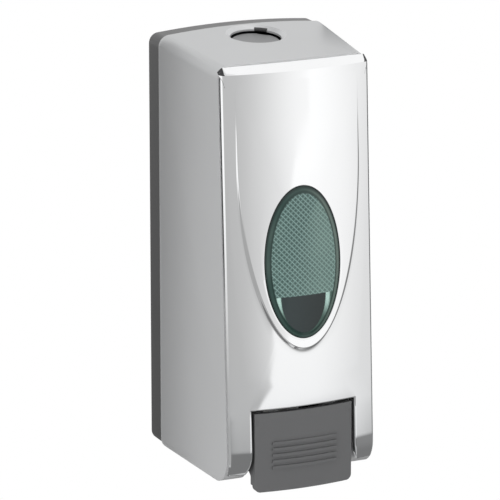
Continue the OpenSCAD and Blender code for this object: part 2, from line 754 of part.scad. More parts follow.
module nozzle() {
    z1 = pump_z - barrel_r - 0.5;
    color([0.85, 0.86, 0.86]) translate([0, port_y, 0]) difference() {
        union() {
            translate([0, 0, z1 - 6.7]) cylinder(r = 7, h = 6.7);
            translate([0, 0, z1 - 10.7]) cylinder(r1 = 4.6, r2 = 7, h = 4);
        }
        translate([0, 0, z1 - 5.7]) cylinder(r = 5 + run, h = 10);
        translate([0, 0, z1 - 20]) cylinder(r = 3.5, h = 30);
    }
}

module duckbill() {
    z1 = pump_z - barrel_r - 5;
    color([0.80, 0.66, 0.60]) translate([0, port_y, 0]) difference() {
        union() {
            translate([0, 0, z1 - 1.2]) cylinder(r = 5, h = 1.2);
            translate([0, 0, z1 - 5.2]) cylinder(r1 = 1.5, r2 = 3.2, h = 4.1);
        }
        translate([0, 0, z1 - 4.4]) cylinder(r1 = 0.7, r2 = 2.2, h = 4.5);
        translate([-2, -0.15, z1 - 6]) cube([4, 0.3, 3]);
    }
}

back_plate();
latch_bracket();
bracket_screws();
tank();
tank_seal();
union_nut();
pump_body();
inlet_valve();
pump_gland();
rod_seal();
nozzle();
duckbill();
pump_spring();
button_spring();
tank_cap();
cap_seal();
plunger();
piston_seal();
release_button();
button_clip();
cover_shell();
front_panel();
window_lens();
lens_retainer();
retainer_screws();
panel_screws();
lever_pin();
pin_clips();
hinge_pins();
push_lever();
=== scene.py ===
import functools
import json
import logging
import math
from dataclasses import dataclass, field
from enum import Enum
from typing import Any, Callable, Iterable

import bmesh
import bpy
from mathutils import Matrix, Vector


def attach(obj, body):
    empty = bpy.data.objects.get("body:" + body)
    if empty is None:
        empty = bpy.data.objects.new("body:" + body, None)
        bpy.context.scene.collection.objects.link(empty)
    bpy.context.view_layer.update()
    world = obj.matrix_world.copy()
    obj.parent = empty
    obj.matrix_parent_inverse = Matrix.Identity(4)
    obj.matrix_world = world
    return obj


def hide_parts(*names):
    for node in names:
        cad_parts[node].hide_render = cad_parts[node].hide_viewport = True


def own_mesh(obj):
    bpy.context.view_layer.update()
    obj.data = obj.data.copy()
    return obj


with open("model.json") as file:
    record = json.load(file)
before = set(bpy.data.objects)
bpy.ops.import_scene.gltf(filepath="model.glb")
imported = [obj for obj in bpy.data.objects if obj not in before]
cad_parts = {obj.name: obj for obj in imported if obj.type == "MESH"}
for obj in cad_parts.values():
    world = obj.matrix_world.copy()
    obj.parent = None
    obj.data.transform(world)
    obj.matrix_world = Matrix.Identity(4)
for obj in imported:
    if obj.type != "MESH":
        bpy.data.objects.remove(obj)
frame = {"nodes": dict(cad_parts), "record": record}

log = logging.getLogger("soap_dispenser")
MM = 0.001
NEAR = 0.01
TINY = 1e-9


class Slot(Enum):
    """Material slots of the part's record."""

    DARK = "dark_plastic"
    SATIN = "satin_silver"
    CHROME = "chrome_front"
    LENS = "green_lens"
    TANK = "clear_tank"
    WHITE = "white_plastic"
    STEEL = "steel"
    RUBBER = "seal_rubber"
    SOFT = "soft_valve"


# Sizes


@dataclass(frozen=True)
class Sizes:
    """Main sizes of the dispenser in millimetres and degrees, the same as in the solids."""

    body_w: float = 78.0
    body_h: float = 185.0
    body_d: float = 78.0
    top_crown: float = 1.6
    top_slope: float = 3.5
    front_lean: float = 3.0
    side_taper: float = 4.6
    roll_r: float = 12.0
    bottom_rise: float = 1.0
    cover_y: float = 11.3
    panel_t: float = 2.2
    panel_rim: float = 1.2
    panel_bulge: float = 4.9
    panel_top_r: float = 3.4
    panel_side_gap: float = 0.15
    panel_top_gap: float = 0.2
    tongue_a: float = 28.1
    tongue_b: float = 82.9
    tongue_low: float = 58.7
    tongue_rise: float = 1.3
    window_a: float = 17.6
    window_b: float = 32.85
    window_z: float = 3.9
    lever_w: float = 45.4
    lever_gap: float = 1.4
    lever_top: float = 32.4
    lever_top_gap: float = 1.1
    lever_sunk: float = 0.35
    lever_flange: float = 6.4
    latch_y: float = 25.6
    latch_hole_r: float = 11.0

    @property
    def lean(self) -> float:
        """Lean of the front, in radians."""
        return math.radians(self.front_lean)

    @property
    def z_bot(self) -> float:
        """Bottom of the cover's side edges."""
        return -self.body_h / 2

    @property
    def crown(self) -> float:
        """Highest line of the cover, beside the plate."""
        return self.body_h / 2 + self.top_crown

    @property
    def front_hw(self) -> float:
        """Half width of the cover at its front."""
        return self.body_w / 2 - self.side_taper

    @property
    def bulge(self) -> float:
        """Stand of the panel's middle over the cover's front plane."""
        return self.panel_rim + self.panel_bulge

    @property
    def front_r(self) -> float:
        """Radius of the panel across its width."""
        return self.front_hw**2 / (2 * self.panel_bulge) + self.panel_bulge / 2

    @property
    def roll_z(self) -> float:
        """Height where the bottom roll starts."""
        return self.z_bot + self.bottom_rise + self.roll_r

    @property
    def front_mid(self) -> float:
        """Distance of the cover's front plane from the wall at z = 0."""
        return self.body_d - self.bulge + math.tan(self.lean) * self.roll_z

    @property
    def front_top(self) -> float:
        """Top of the cover's front plane."""
        run = self.front_mid - math.tan(self.lean) * self.body_h / 2 - self.cover_y
        return self.body_h / 2 - run * math.tan(math.radians(self.top_slope))

    @property
    def panel_hw(self) -> float:
        """Half width of the chrome panel."""
        return self.front_hw - self.panel_side_gap

    @property
    def panel_top(self) -> float:
        """Top of the chrome panel on the front plane."""
        return self.front_top - self.panel_top_gap

    @property
    def cut_hw(self) -> float:
        """Half width of the cut-out for the lever."""
        return self.lever_w / 2 + self.lever_gap

    @property
    def cut_top(self) -> float:
        """Top of the cut-out for the lever."""
        return self.z_bot + self.lever_top + self.lever_top_gap

    @property
    def lever_face(self) -> float:
        """Distance of the lever's face from the wall."""
        front = self.front_mid - math.tan(self.lean) * (self.z_bot + self.lever_top)
        return front + self.bulge - self.lever_sunk

    @property
    def latch_tilt(self) -> float:
        """Tilt of the button's hole, in radians."""
        edge = self.front_mid - math.sin(self.lean) * self.front_top
        return math.atan2(self.crown - self.front_top, edge - self.cover_y)

    @property
    def latch_z(self) -> float:
        """Height of the cover's top at the button's hole."""
        return self.crown - (self.latch_y - self.cover_y) * math.tan(self.latch_tilt)

    def latch_matrix(self) -> Matrix:
        """Matrix from the button hole's millimetres to the part's metres."""
        place = Matrix.Translation((0, -self.latch_y, self.latch_z))
        return Matrix.Scale(MM, 4) @ place @ Matrix.Rotation(self.latch_tilt, 4, "X")

    def front_matrix(self) -> Matrix:
        """Matrix from the front plane's millimetres to the part's metres."""
        place = Matrix.Translation((0, -self.front_mid, 0))
        return Matrix.Scale(MM, 4) @ place @ Matrix.Rotation(-self.lean, 4, "X")


SIZES = Sizes()


# Shader graph


class Value:
    """A shader socket that takes part in Python expressions."""

    def __init__(self, graph: "Graph", socket: bpy.types.NodeSocket) -> None:
        """Wraps one output socket of the graph."""
        self.graph = graph
        self.socket = socket

    def output(self, name: str) -> "Value":
        """Another output of the same node."""
        return Value(self.graph, self.socket.node.outputs[name])

    def math(self, operation: str, *values: Any) -> "Value":
        """Adds a Math node over the given values."""
        return self.graph.node("ShaderNodeMath", {"operation": operation}, dict(enumerate(values)))

    def __add__(self, other: Any) -> "Value":
        """Sum."""
        return self.math("ADD", self, other)

    def __sub__(self, other: Any) -> "Value":
        """Difference."""
        return self.math("SUBTRACT", self, other)

    def __rsub__(self, other: Any) -> "Value":
        """Difference with the value on the right."""
        return self.math("SUBTRACT", other, self)

    def __mul__(self, other: Any) -> "Value":
        """Product."""
        return self.math("MULTIPLY", self, other)

    def __truediv__(self, other: Any) -> "Value":
        """Quotient."""
        return self.math("DIVIDE", self, other)

    __radd__ = __add__
    __rmul__ = __mul__

    def abs(self) -> "Value":
        """Absolute value."""
        return self.math("ABSOLUTE", self)

    def fract(self) -> "Value":
        """Part after the decimal point."""
        return self.math("FRACT", self)

    def root(self) -> "Value":
        """Square root."""
        return self.math("SQRT", self)

    def least(self, other: Any) -> "Value":
        """The smaller of two values."""
        return self.math("MINIMUM", self, other)

    def most(self, other: Any) -> "Value":
        """The larger of two values."""
        return self.math("MAXIMUM", self, other)

    def ramp(self, low: float, high: float) -> "Value":
        """Smooth rise from 0 at low to 1 at high, or a fall where low is the larger.

        Args:
            low: value that gives 0.
            high: value that gives 1.

        Returns:
            The smoothed share between 0 and 1.
        """
        start, end = (0.0, 1.0) if low < high else (1.0, 0.0)
        span = {"From Min": min(low, high), "From Max": max(low, high), "To Min": start, "To Max": end}
        settings = {"interpolation_type": "SMOOTHSTEP"}
        return self.graph.node("ShaderNodeMapRange", settings, {"Value": self, **span})


class Graph:
    """A node tree that is written from Python."""

    mix_first, mix_second, mix_colour = 6, 7, 2

    def __init__(self, tree: bpy.types.NodeTree) -> None:
        """Empties the tree and takes it over."""
        self.tree = tree
        tree.nodes.clear()

    def node(
        self, kind: str, settings: dict[str, Any] | None = None, inputs: dict[Any, Any] | None = None
    ) -> Value | None:
        """Adds one node.

        Args:
            kind: Blender's type name of the node.
            settings: properties that are set first.
            inputs: values or links of its sockets, by name or number.

        Returns:
            The node's first output, or None for a node without outputs.
        """
        made = self.tree.nodes.new(kind)
        for key, value in (settings or {}).items():
            setattr(made, key, value)
        for key, value in (inputs or {}).items():
            if isinstance(value, Value):
                self.tree.links.new(value.socket, made.inputs[key])
            else:
                made.inputs[key].default_value = value
        return Value(self, made.outputs[0]) if made.outputs else None

    def vector(self) -> Value:
        """Object coordinates in metres."""
        return self.node("ShaderNodeTexCoord").output("Object")

    def axes(self, vector: Value) -> tuple[Value, Value, Value]:
        """The vector's x, y and z in millimetres."""
        split = self.node("ShaderNodeSeparateXYZ", None, {0: vector})
        return split * (1 / MM), split.output("Y") * (1 / MM), split.output("Z") * (1 / MM)

    def noise(self, vector: Value, scale: float, detail: float = 2.0, rough: float = 0.5) -> Value:
        """Noise over a surface.

        Args:
            vector: where it is read.
            scale: cells per metre.
            detail: number of finer layers.
            rough: share that each finer layer keeps.

        Returns:
            The noise, between 0 and 1.
        """
        inputs = {"Vector": vector, "Scale": scale, "Detail": detail, "Roughness": rough}
        return self.node("ShaderNodeTexNoise", {"noise_dimensions": "3D"}, inputs)

    def mix(self, share: Value | float, first: Any, second: Any) -> Value:
        """Mixes two colours.

        Args:
            share: share of the second colour.
            first: the colour at a share of 0.
            second: the colour at a share of 1.

        Returns:
            The mixed colour.
        """
        inputs = {0: share, self.mix_first: _rgba(first), self.mix_second: _rgba(second)}
        made = self.node("ShaderNodeMix", {"data_type": "RGBA"}, inputs)
        return Value(self, made.socket.node.outputs[self.mix_colour])

    def shade(self, colour: tuple, factor: Value) -> Value:
        """A colour times a varying factor."""
        return self.node("ShaderNodeVectorMath", {"operation": "SCALE"}, {0: colour[:3], "Scale": factor})

    def bump(self, height: Value, depth: float, strength: float = 1.0) -> Value:
        """A bumped normal from a height between 0 and 1, with its depth in metres."""
        return self.node("ShaderNodeBump", None, {"Height": height, "Distance": depth, "Strength": strength})


def _rgba(value: Any) -> Any:
    """A colour with its alpha, or the value itself if it is a link."""
    return value if isinstance(value, Value) else (*value[:3], 1.0)


def layered(weights: tuple, *layers: Value) -> Value:
    """A base value, the first of the weights, plus each layer times its weight."""
    base, *shares = weights
    return sum((layer * share for layer, share in zip(layers, shares)), base)


def oval_share(across: Value, along: Value, half_w: float, half_h: float) -> Value:
    """Distance from an oval's middle, with 1 on the oval."""
    x, z = across / half_w, along / half_h
    return (x * x + z * z).root()


def node_material(name: str) -> tuple[bpy.types.Material, Graph]:
    """Makes an empty material.

    Args:
        name: name of the material.

    Returns:
        The material and its graph.
    """
    made = bpy.data.materials.new(name)
    made.use_nodes = True
    return made, Graph(made.node_tree)


# Finishes


class Finish:
    """Base of the finishes: makes a material round one Principled shader.

    A noise layer is its scale in cells per metre, its detail and, where it differs, its roughness.
    Tone, gloss, metal, relief and slant are a base value and the weights of what is added to it. Any other
    pair is where a ramp starts and where it ends. Places are in millimetres and bump depths in metres.
    """

    def material(self, name: str) -> bpy.types.Material:
        """Makes the material.

        Args:
            name: name of the material.

        Returns:
            The new material.
        """
        made, graph = node_material(name)
        shader = graph.node("ShaderNodeBsdfPrincipled", None, self.sockets(graph))
        graph.node("ShaderNodeOutputMaterial", None, {"Surface": shader})
        return made

    def sockets(self, graph: Graph) -> dict[str, Any]:
        """Values and links of the Principled shader."""
        raise NotImplementedError


@dataclass(frozen=True)
class MouldedPlastic(Finish):
    """Injection-moulded plastic with a fine spark-eroded grain."""

    colour: tuple
    rough: float = 0.45
    grain: float = 1400.0
    grain_detail: float = 2.0
    grain_rough: float = 0.6
    specks_per_grain: float = 2.3
    cloud: tuple = (45.0, 3.0)
    tone: tuple = (0.94, 0.07, 0.05)
    gloss: tuple = (-0.05, 0.07, 0.05)
    relief: tuple = (0.0, 0.7, 0.3)
    depth: float = 0.00003

    def sockets(self, graph: Graph) -> dict[str, Any]:
        """Colour clouds, a grain in the normal and uneven gloss.

        Args:
            graph: the material's graph.

        Returns:
            Values and links by socket.
        """
        vector = graph.vector()
        cloud = graph.noise(vector, *self.cloud)
        grain = graph.noise(vector, self.grain, self.grain_detail, self.grain_rough)
        speck = graph.noise(vector, self.grain * self.specks_per_grain, 1.0)
        return {
            "Base Color": graph.shade(self.colour, layered(self.tone, cloud, grain)),
            "Roughness": self.rough + layered(self.gloss, cloud, speck),
            "Normal": graph.bump(layered(self.relief, grain, speck), self.depth),
        }


@dataclass(frozen=True)
class SatinPaint(Finish):
    """Silver paint with fine flakes under a satin lacquer."""

    colour: tuple = (0.47, 0.475, 0.48)
    rough: float = 0.42
    bevel_w: float = 2.0
    bevel_h: float = 3.8
    bevel_blur: float = 0.1
    bevel_fade: float = 0.5
    bevel_colour: tuple = (0.56, 0.565, 0.57)
    flake: tuple = (5200.0, 1.0)
    cloud: tuple = (22.0, 3.0)
    peel: tuple = (620.0, 2.0)
    tone: tuple = (0.93, 0.08, 0.06)
    metal: tuple = (0.22, 0.12, 0.2)
    gloss: tuple = (-0.04, 0.05, 0.05, -0.12)
    relief: tuple = (0.0, 0.7, 0.3)
    depth: float = 0.000012
    lacquer: float = 0.12
    lacquer_rough: float = 0.35

    def bevel(self, graph: Graph, vector: Value) -> Value:
        """Share of the polished bevel round the button.

        Args:
            graph: the material's graph.
            vector: where it is read.

        Returns:
            1 on the bevel and 0 elsewhere.
        """
        x, y, z = graph.axes(vector)
        away = y + SIZES.latch_y
        reach = (x * x + away * away).root()
        inner = SIZES.latch_hole_r - self.bevel_blur
        outer = SIZES.latch_hole_r + self.bevel_w
        low = SIZES.latch_z - self.bevel_h
        ring = reach.ramp(inner - self.bevel_blur, inner) * reach.ramp(outer, outer - self.bevel_blur)
        return ring * z.ramp(low, low + self.bevel_fade)

    def sockets(self, graph: Graph) -> dict[str, Any]:
        """Flakes, slight clouds of the spray, an orange-peel normal and the polished bevel.

        Args:
            graph: the material's graph.

        Returns:
            Values and links by socket.
        """
        vector = graph.vector()
        bevel = self.bevel(graph, vector)
        flake = graph.noise(vector, *self.flake)
        cloud = graph.noise(vector, *self.cloud)
        peel = graph.noise(vector, *self.peel)
        paint = graph.shade(self.colour, layered(self.tone, flake, cloud))
        return {
            "Base Color": graph.mix(bevel, paint, self.bevel_colour),
            "Metallic": layered(self.metal, flake, bevel),
            "Roughness": self.rough + layered(self.gloss, cloud, flake, bevel),
            "Coat Weight": self.lacquer,
            "Coat Roughness": self.lacquer_rough,
            "Normal": graph.bump(layered(self.relief, peel, flake), self.depth),
        }


@dataclass(frozen=True)
class ChromePlate(Finish):
    """Polished chrome on plastic, with the faint haze and waviness of plating."""

    colour: tuple = (0.93, 0.935, 0.94)
    low_colour: tuple = (0.905, 0.925, 0.94)
    low_z: tuple = (-20.0, -88.0)
    low_share: float = 0.5
    dust_colour: tuple = (0.80, 0.81, 0.82)
    dust_from: float = 0.62
    dust_share: float = 0.5
    rough: float = 0.045
    haze: tuple = (60.0, 4.0, 0.55)
    dust: tuple = (3600.0, 1.0)
    wave: tuple = (26.0, 1.0)
    gloss: tuple = (-0.015, 0.035)
    depth: float = 0.00004

    def sockets(self, graph: Graph) -> dict[str, Any]:
        """Haze in the gloss, a slight tint and a very flat waviness.

        Args:
            graph: the material's graph.

        Returns:
            Values and links by socket.
        """
        vector = graph.vector()
        _, _, z = graph.axes(vector)
        haze = graph.noise(vector, *self.haze)
        dust = (graph.noise(vector, *self.dust) - self.dust_from).most(0.0)
        tint = graph.mix(z.ramp(*self.low_z) * self.low_share, self.colour, self.low_colour)
        return {
            "Base Color": graph.mix(dust * self.dust_share, tint, self.dust_colour),
            "Metallic": 1.0,
            "Roughness": self.rough + layered(self.gloss, haze),
            "Normal": graph.bump(graph.noise(vector, *self.wave), self.depth),
        }


@dataclass(frozen=True)
class PaintedGapShade(Finish):
    """Painted shade of the gap beside the panel's borders, laid on the chrome's outer bevel faces and the
    top band's ends: near black at the top and fading to grey towards the bottom, where the gap closes; with
    dust.
    """

    # colours of the painted shade, near black at the top and grey at the bottom
    gap_shade: tuple = (0.016, 0.016, 0.017)
    faded_shade: tuple = (0.30, 0.303, 0.306)
    shade_fade_z: tuple = (12.0, -18.0)
    dust: tuple = (1600.0, 2.0)
    dust_edge: tuple = (0.5, 0.8)
    dust_share: float = 0.2
    dust_colour: tuple = (0.12, 0.12, 0.12)
    gloss: tuple = (0.28, 0.15)
    depth: float = 0.00002

    def sockets(self, graph: Graph) -> dict[str, Any]:
        """Dust, and the painted shade that fades from dark to grey.

        Args:
            graph: the material's graph.

        Returns:
            Values and links by socket.
        """
        vector = graph.vector()
        _, _, z = graph.axes(vector)
        dust = graph.noise(vector, *self.dust)
        # painted shade: near black at the top, fading to grey towards the bottom
        colour = graph.mix(z.ramp(*self.shade_fade_z), self.gap_shade, self.faded_shade)
        return {
            "Base Color": graph.mix(dust.ramp(*self.dust_edge) * self.dust_share, colour, self.dust_colour),
            "Roughness": layered(self.gloss, dust),
            "Normal": graph.bump(dust, self.depth),
        }


@dataclass(frozen=True)
class LensPlastic(Finish):
    """Green clear plastic with a diamond pattern moulded in, clear below its level line."""

    pitch: float = 2.3
    first_bar: tuple = (0.33, 0.46)
    second_bar: tuple = (0.36, 0.47)
    second_share: float = 0.75
    pit_edge: tuple = (0.27, 0.08)
    pit_share: float = 0.8
    valley_colour: tuple = (0.063, 0.112, 0.101)
    bar_colour: tuple = (0.176, 0.275, 0.256)
    pit_colour: tuple = (0.022, 0.048, 0.043)
    cloud: tuple = (70.0, 2.0)
    cloud_edge: tuple = (0.35, 0.75)
    cloud_share: float = 0.1
    # painted sheen: a lighter, greener band right of a diagonal across the field
    painted_sheen_slant: tuple = (0.0, 0.864, -0.506)
    painted_sheen_edge: tuple = (-8.2, -6.8)
    painted_sheen_x: tuple = (-3.0, 8.0)
    painted_sheen_share: float = 0.24
    painted_sheen_colour: tuple = (0.20, 0.30, 0.26)
    line_z: float = -9.8
    line_blur: float = 0.15
    pocket_x: float = -0.7
    pocket_a: float = 10.4
    pocket_b: float = 16.6
    pocket_edge: tuple = (0.96, 1.0)
    # painted shade of the inside seen through the pocket, lighter on the left, and painted highlights on its
    # edges
    pocket_shade_x: tuple = (-10.0, 10.0)
    pocket_shade_left: tuple = (0.020, 0.030, 0.031)
    pocket_shade_right: tuple = (0.012, 0.018, 0.018)
    sliver_in: tuple = (0.97, 1.03)
    sliver_out: tuple = (1.24, 1.13)
    sliver_up: tuple = (-11.0, -2.0)
    sliver_highlight_colour: tuple = (0.36, 0.52, 0.47)
    beside_colour: tuple = (0.034, 0.072, 0.058)
    rim_w: float = 2.6
    rim_edge: tuple = (0.985, 1.005)
    # painted light on the rim's slope, lighter towards the right
    rim_light_x: tuple = (-4.0, 15.0)
    rim_cloud: tuple = (0.3, 0.7)
    rim_light_and_cloud: tuple = (0.0, 0.8, 0.2)
    rim_shaded: tuple = (0.018, 0.044, 0.038)
    rim_lit: tuple = (0.115, 0.155, 0.135)
    # painted shade in the crease where the rim meets the field
    crease_shade_in: tuple = (0.975, 1.0)
    crease_shade_out: tuple = (1.045, 1.015)
    crease_shade_share: float = 0.75
    crease_shade_colour: tuple = (0.010, 0.026, 0.022)
    border_w: float = 0.75
    border_edge: tuple = (0.97, 1.02)
    border_colour: tuple = (0.008, 0.018, 0.016)
    gloss: tuple = (0.16, 0.10)
    relief: tuple = (0.0, 0.6, -0.6)
    depth: float = 0.00012
    bump: float = 0.6
    specular: float = 0.15
    coat: float = 0.55
    coat_rough: float = 0.03

    def diamonds(self, x: Value, up: Value) -> tuple[Value, Value]:
        """Moulded pattern.

        Args:
            x: place across the lens.
            up: height over the lens' middle.

        Returns:
            Shares of the bars and of the pits between them.
        """
        first = ((x + up) / self.pitch).fract() - 0.5
        second = ((x - up) / self.pitch).fract() - 0.5
        bars = first.abs().ramp(*self.first_bar)
        bars = bars.most(second.abs().ramp(*self.second_bar) * self.second_share)
        return bars, (first * first + second * second).root().ramp(*self.pit_edge)

    def pocket(self, graph: Graph, x: Value, z: Value) -> Value:
        """Colour below the level line.

        Args:
            graph: the material's graph.
            x: place across the lens.
            z: height.

        Returns:
            The sight pocket, painted with the shade of the inside seen through it and lighter on the left,
            with painted highlights along the upper part of its edges, beside the plain lens.
        """
        up = z - self.line_z
        reach = oval_share(x - self.pocket_x, up, self.pocket_a, self.pocket_b)
        # painted shade of the inside seen through the clear pocket, lighter on the left
        dark = graph.mix(x.ramp(*self.pocket_shade_x), self.pocket_shade_left, self.pocket_shade_right)
        # painted highlights along the upper part of the pocket's edges
        sliver_highlight = reach.ramp(*self.sliver_in) * reach.ramp(*self.sliver_out) * up.ramp(*self.sliver_up)
        side = graph.mix(sliver_highlight, self.beside_colour, self.sliver_highlight_colour)
        return graph.mix(reach.ramp(*self.pocket_edge), dark, side)

    def rim(self, graph: Graph, x: Value, up: Value, cloud: Value) -> Value:
        """Colour of the sloped rim.

        Args:
            graph: the material's graph.
            x: place across the lens.
            up: height over the lens' middle.
            cloud: clouds of the plastic.

        Returns:
            The slope with painted light, lighter on the right, and a dark border.
        """
        # painted light: lighter towards the right, with some real cloud
        light = layered(self.rim_light_and_cloud, x.ramp(*self.rim_light_x), cloud.ramp(*self.rim_cloud))
        slope = graph.mix(light, self.rim_shaded, self.rim_lit)
        border = oval_share(x, up, SIZES.window_a - self.border_w, SIZES.window_b - self.border_w)
        return graph.mix(border.ramp(*self.border_edge), slope, self.border_colour)

    def sockets(self, graph: Graph) -> dict[str, Any]:
        """Dark rim with painted light on its right, diamond field with a painted diagonal sheen, painted
        shade in the crease at the field's edge, and the sight pocket with the painted shade of the inside
        and painted highlights on its edges.

        Args:
            graph: the material's graph.

        Returns:
            Values and links by socket.
        """
        vector = graph.vector()
        x, _, z = graph.axes(vector)
        up = z - SIZES.window_z
        cloud = graph.noise(vector, *self.cloud)
        bars, pit = self.diamonds(x, up)
        pattern = graph.mix(bars, self.valley_colour, self.bar_colour)
        pattern = graph.mix(pit * self.pit_share, pattern, self.pit_colour)
        # painted sheen: lighter band right of a diagonal, over real clouds of the plastic
        painted_sheen = layered(self.painted_sheen_slant, x, up).ramp(*self.painted_sheen_edge)
        painted_sheen = painted_sheen * x.ramp(*self.painted_sheen_x) * self.painted_sheen_share
        cloud_and_sheen = cloud.ramp(*self.cloud_edge) * self.cloud_share + painted_sheen
        pattern = graph.mix(cloud_and_sheen, pattern, self.painted_sheen_colour)
        below = z.ramp(self.line_z + self.line_blur, self.line_z - self.line_blur)
        face = graph.mix(below, pattern, self.pocket(graph, x, z))
        reach = oval_share(x, up, SIZES.window_a - self.rim_w, SIZES.window_b - self.rim_w)
        rim = reach.ramp(*self.rim_edge)
        # painted shade in the crease where the rim meets the field
        crease_shade = reach.ramp(*self.crease_shade_in) * reach.ramp(*self.crease_shade_out)
        colour = graph.mix(rim, face, self.rim(graph, x, up, cloud))
        above = 1.0 - below
        relief = layered(self.relief, bars, pit) * above * (1.0 - rim)
        return {
            "Base Color": graph.mix(crease_shade * self.crease_shade_share, colour, self.crease_shade_colour),
            "Roughness": layered(self.gloss, bars * above),
            "Specular IOR Level": self.specular,
            "Coat Weight": self.coat,
            "Coat Roughness": self.coat_rough,
            "Normal": graph.bump(relief, self.depth, self.bump),
        }


@dataclass(frozen=True)
class MilkyPlastic(Finish):
    """Blown milky plastic of the tank, with faint flow clouds."""

    colour: tuple = (0.78, 0.80, 0.78)
    flow: tuple = (38.0, 3.0)
    skin: tuple = (900.0, 2.0)
    tone: tuple = (0.93, 0.1)
    gloss: tuple = (0.28, 0.16)
    clearness: float = 0.35
    refraction: float = 1.49
    depth: float = 0.00003

    def sockets(self, graph: Graph) -> dict[str, Any]:
        """Flow clouds and a soft uneven gloss over a see-through body.

        Args:
            graph: the material's graph.

        Returns:
            Values and links by socket.
        """
        vector = graph.vector()
        flow = graph.noise(vector, *self.flow)
        return {
            "Base Color": graph.shade(self.colour, layered(self.tone, flow)),
            "Roughness": layered(self.gloss, flow),
            "Transmission Weight": self.clearness,
            "IOR": self.refraction,
            "Normal": graph.bump(graph.noise(vector, *self.skin), self.depth),
        }


@dataclass(frozen=True)
class TurnedSteel(Finish):
    """Bright stainless steel with fine turning lines."""

    colour: tuple = (0.60, 0.61, 0.62)
    stretch: tuple = (1.0, 14.0, 14.0)
    line: tuple = (420.0, 3.0)
    stain: tuple = (130.0, 3.0)
    tone: tuple = (0.88, 0.15, 0.08)
    gloss: tuple = (0.22, 0.16)
    depth: float = 0.00001

    def sockets(self, graph: Graph) -> dict[str, Any]:
        """Lines from the tool and a slight stain.

        Args:
            graph: the material's graph.

        Returns:
            Values and links by socket.
        """
        vector = graph.vector()
        drawn = graph.node("ShaderNodeMapping", None, {"Vector": vector, "Scale": self.stretch})
        line = graph.noise(drawn, *self.line)
        stain = graph.noise(vector, *self.stain)
        return {
            "Base Color": graph.shade(self.colour, layered(self.tone, stain, line)),
            "Metallic": 1.0,
            "Roughness": layered(self.gloss, line),
            "Normal": graph.bump(line, self.depth),
        }


@dataclass(frozen=True)
class SealRubber(Finish):
    """Dull rubber with a dusty bloom."""

    colour: tuple = (0.03, 0.03, 0.032)
    bloom: tuple = (0.07, 0.07, 0.072)
    patch: tuple = (160.0, 3.0)
    patch_edge: tuple = (0.45, 0.7)
    skin: tuple = (2200.0, 2.0)
    gloss: tuple = (0.62, 0.2)
    depth: float = 0.00003

    def sockets(self, graph: Graph) -> dict[str, Any]:
        """Bloom in patches and a pitted skin.

        Args:
            graph: the material's graph.

        Returns:
            Values and links by socket.
        """
        vector = graph.vector()
        patch = graph.noise(vector, *self.patch)
        skin = graph.noise(vector, *self.skin)
        return {
            "Base Color": graph.mix(patch.ramp(*self.patch_edge), self.colour, self.bloom),
            "Roughness": layered(self.gloss, skin),
            "Normal": graph.bump(skin, self.depth),
        }


# Mesh helpers


def mesh_object(name: str, bm: bmesh.types.BMesh, *materials: bpy.types.Material) -> bpy.types.Object:
    """Turns a bmesh in metres into an object of the scene.

    Args:
        name: name of the object and its mesh.
        bm: the mesh, which is freed.
        materials: materials by the faces' material number.

    Returns:
        The new object.
    """
    mesh = bpy.data.meshes.new(name)
    bm.to_mesh(mesh)
    bm.free()
    for material in materials:
        mesh.materials.append(material)
    obj = bpy.data.objects.new(name, mesh)
    bpy.context.scene.collection.objects.link(obj)
    return obj


@dataclass
class Piece:
    """A new piece of the visual model and what it stands for."""

    name: str
    body: str
    slot: Slot
    replaced: tuple[str, ...] = ()
    sharp: float = 38.0
    face_weight: int = 80

    def finish(self, bm: bmesh.types.BMesh, *materials: bpy.types.Material) -> bpy.types.Object:
        """Turns a bmesh in metres into a dressed object that rides on its body.

        Args:
            bm: the mesh, which is freed; edges with the "crisp" layer set stay sharp.
            materials: materials by the faces' material number.

        Returns:
            The new object.
        """
        obj = mesh_object(self.name, bm, *materials)
        mesh = obj.data
        mesh.polygons.foreach_set("use_smooth", [True] * len(mesh.polygons))
        mesh.set_sharp_from_angle(angle=math.radians(self.sharp))
        if "crisp" in mesh.attributes:
            for flag, edge in zip(mesh.attributes["crisp"].data, mesh.edges):
                edge.use_edge_sharp = edge.use_edge_sharp or flag.value > 0
        weighted = obj.modifiers.new("even_normals", "WEIGHTED_NORMAL")
        weighted.keep_sharp = True
        weighted.weight = self.face_weight
        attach(obj, self.body)
        if self.replaced:
            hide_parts(*self.replaced)
        log.info("piece %s: %d faces", self.name, len(mesh.polygons))
        return obj


def numbered_circle(bm: bmesh.types.BMesh, count: int) -> tuple[Any, list]:
    """Starts a mesh with a ring of numbered vertices.

    Args:
        bm: the empty mesh.
        count: number of vertices.

    Returns:
        The layer of the numbers and the ring's edges.
    """
    ray = bm.verts.layers.int.new("ray")
    circle = bmesh.ops.create_circle(bm, cap_ends=False, segments=count, radius=1.0)["verts"]
    for number, vertex in enumerate(circle):
        vertex[ray] = number
    return ray, list(bm.edges)


def grow(bm: bmesh.types.BMesh, edges: Iterable, move: Callable[[Any], Vector]) -> list:
    """Extrudes an open row of edges and puts each new vertex in its place.

    Args:
        bm: the mesh.
        edges: edges of the row.
        move: gives the new place of a new vertex.

    Returns:
        The edges of the new row.
    """
    made = bmesh.ops.extrude_edge_only(bm, edges=list(edges))["geom"]
    fresh = [part for part in made if isinstance(part, bmesh.types.BMVert)]
    for vertex in fresh:
        vertex.co = move(vertex)
    kept = set(fresh)
    return [part for part in made if isinstance(part, bmesh.types.BMEdge) and set(part.verts) <= kept]


def edges_at(edges: Iterable, z: float, inner: float = 0.0) -> list:
    """Picks the edges at a height that lie beyond a distance from the middle.

    Args:
        edges: edges of a flat mesh.
        z: the height.
        inner: the distance.

    Returns:
        The edges that fit.
    """
    picked = []
    for edge in edges:
        if all(abs(v.co.z - z) < NEAR and abs(v.co.x) > inner - NEAR for v in edge.verts):
            picked.append(edge)
    return picked


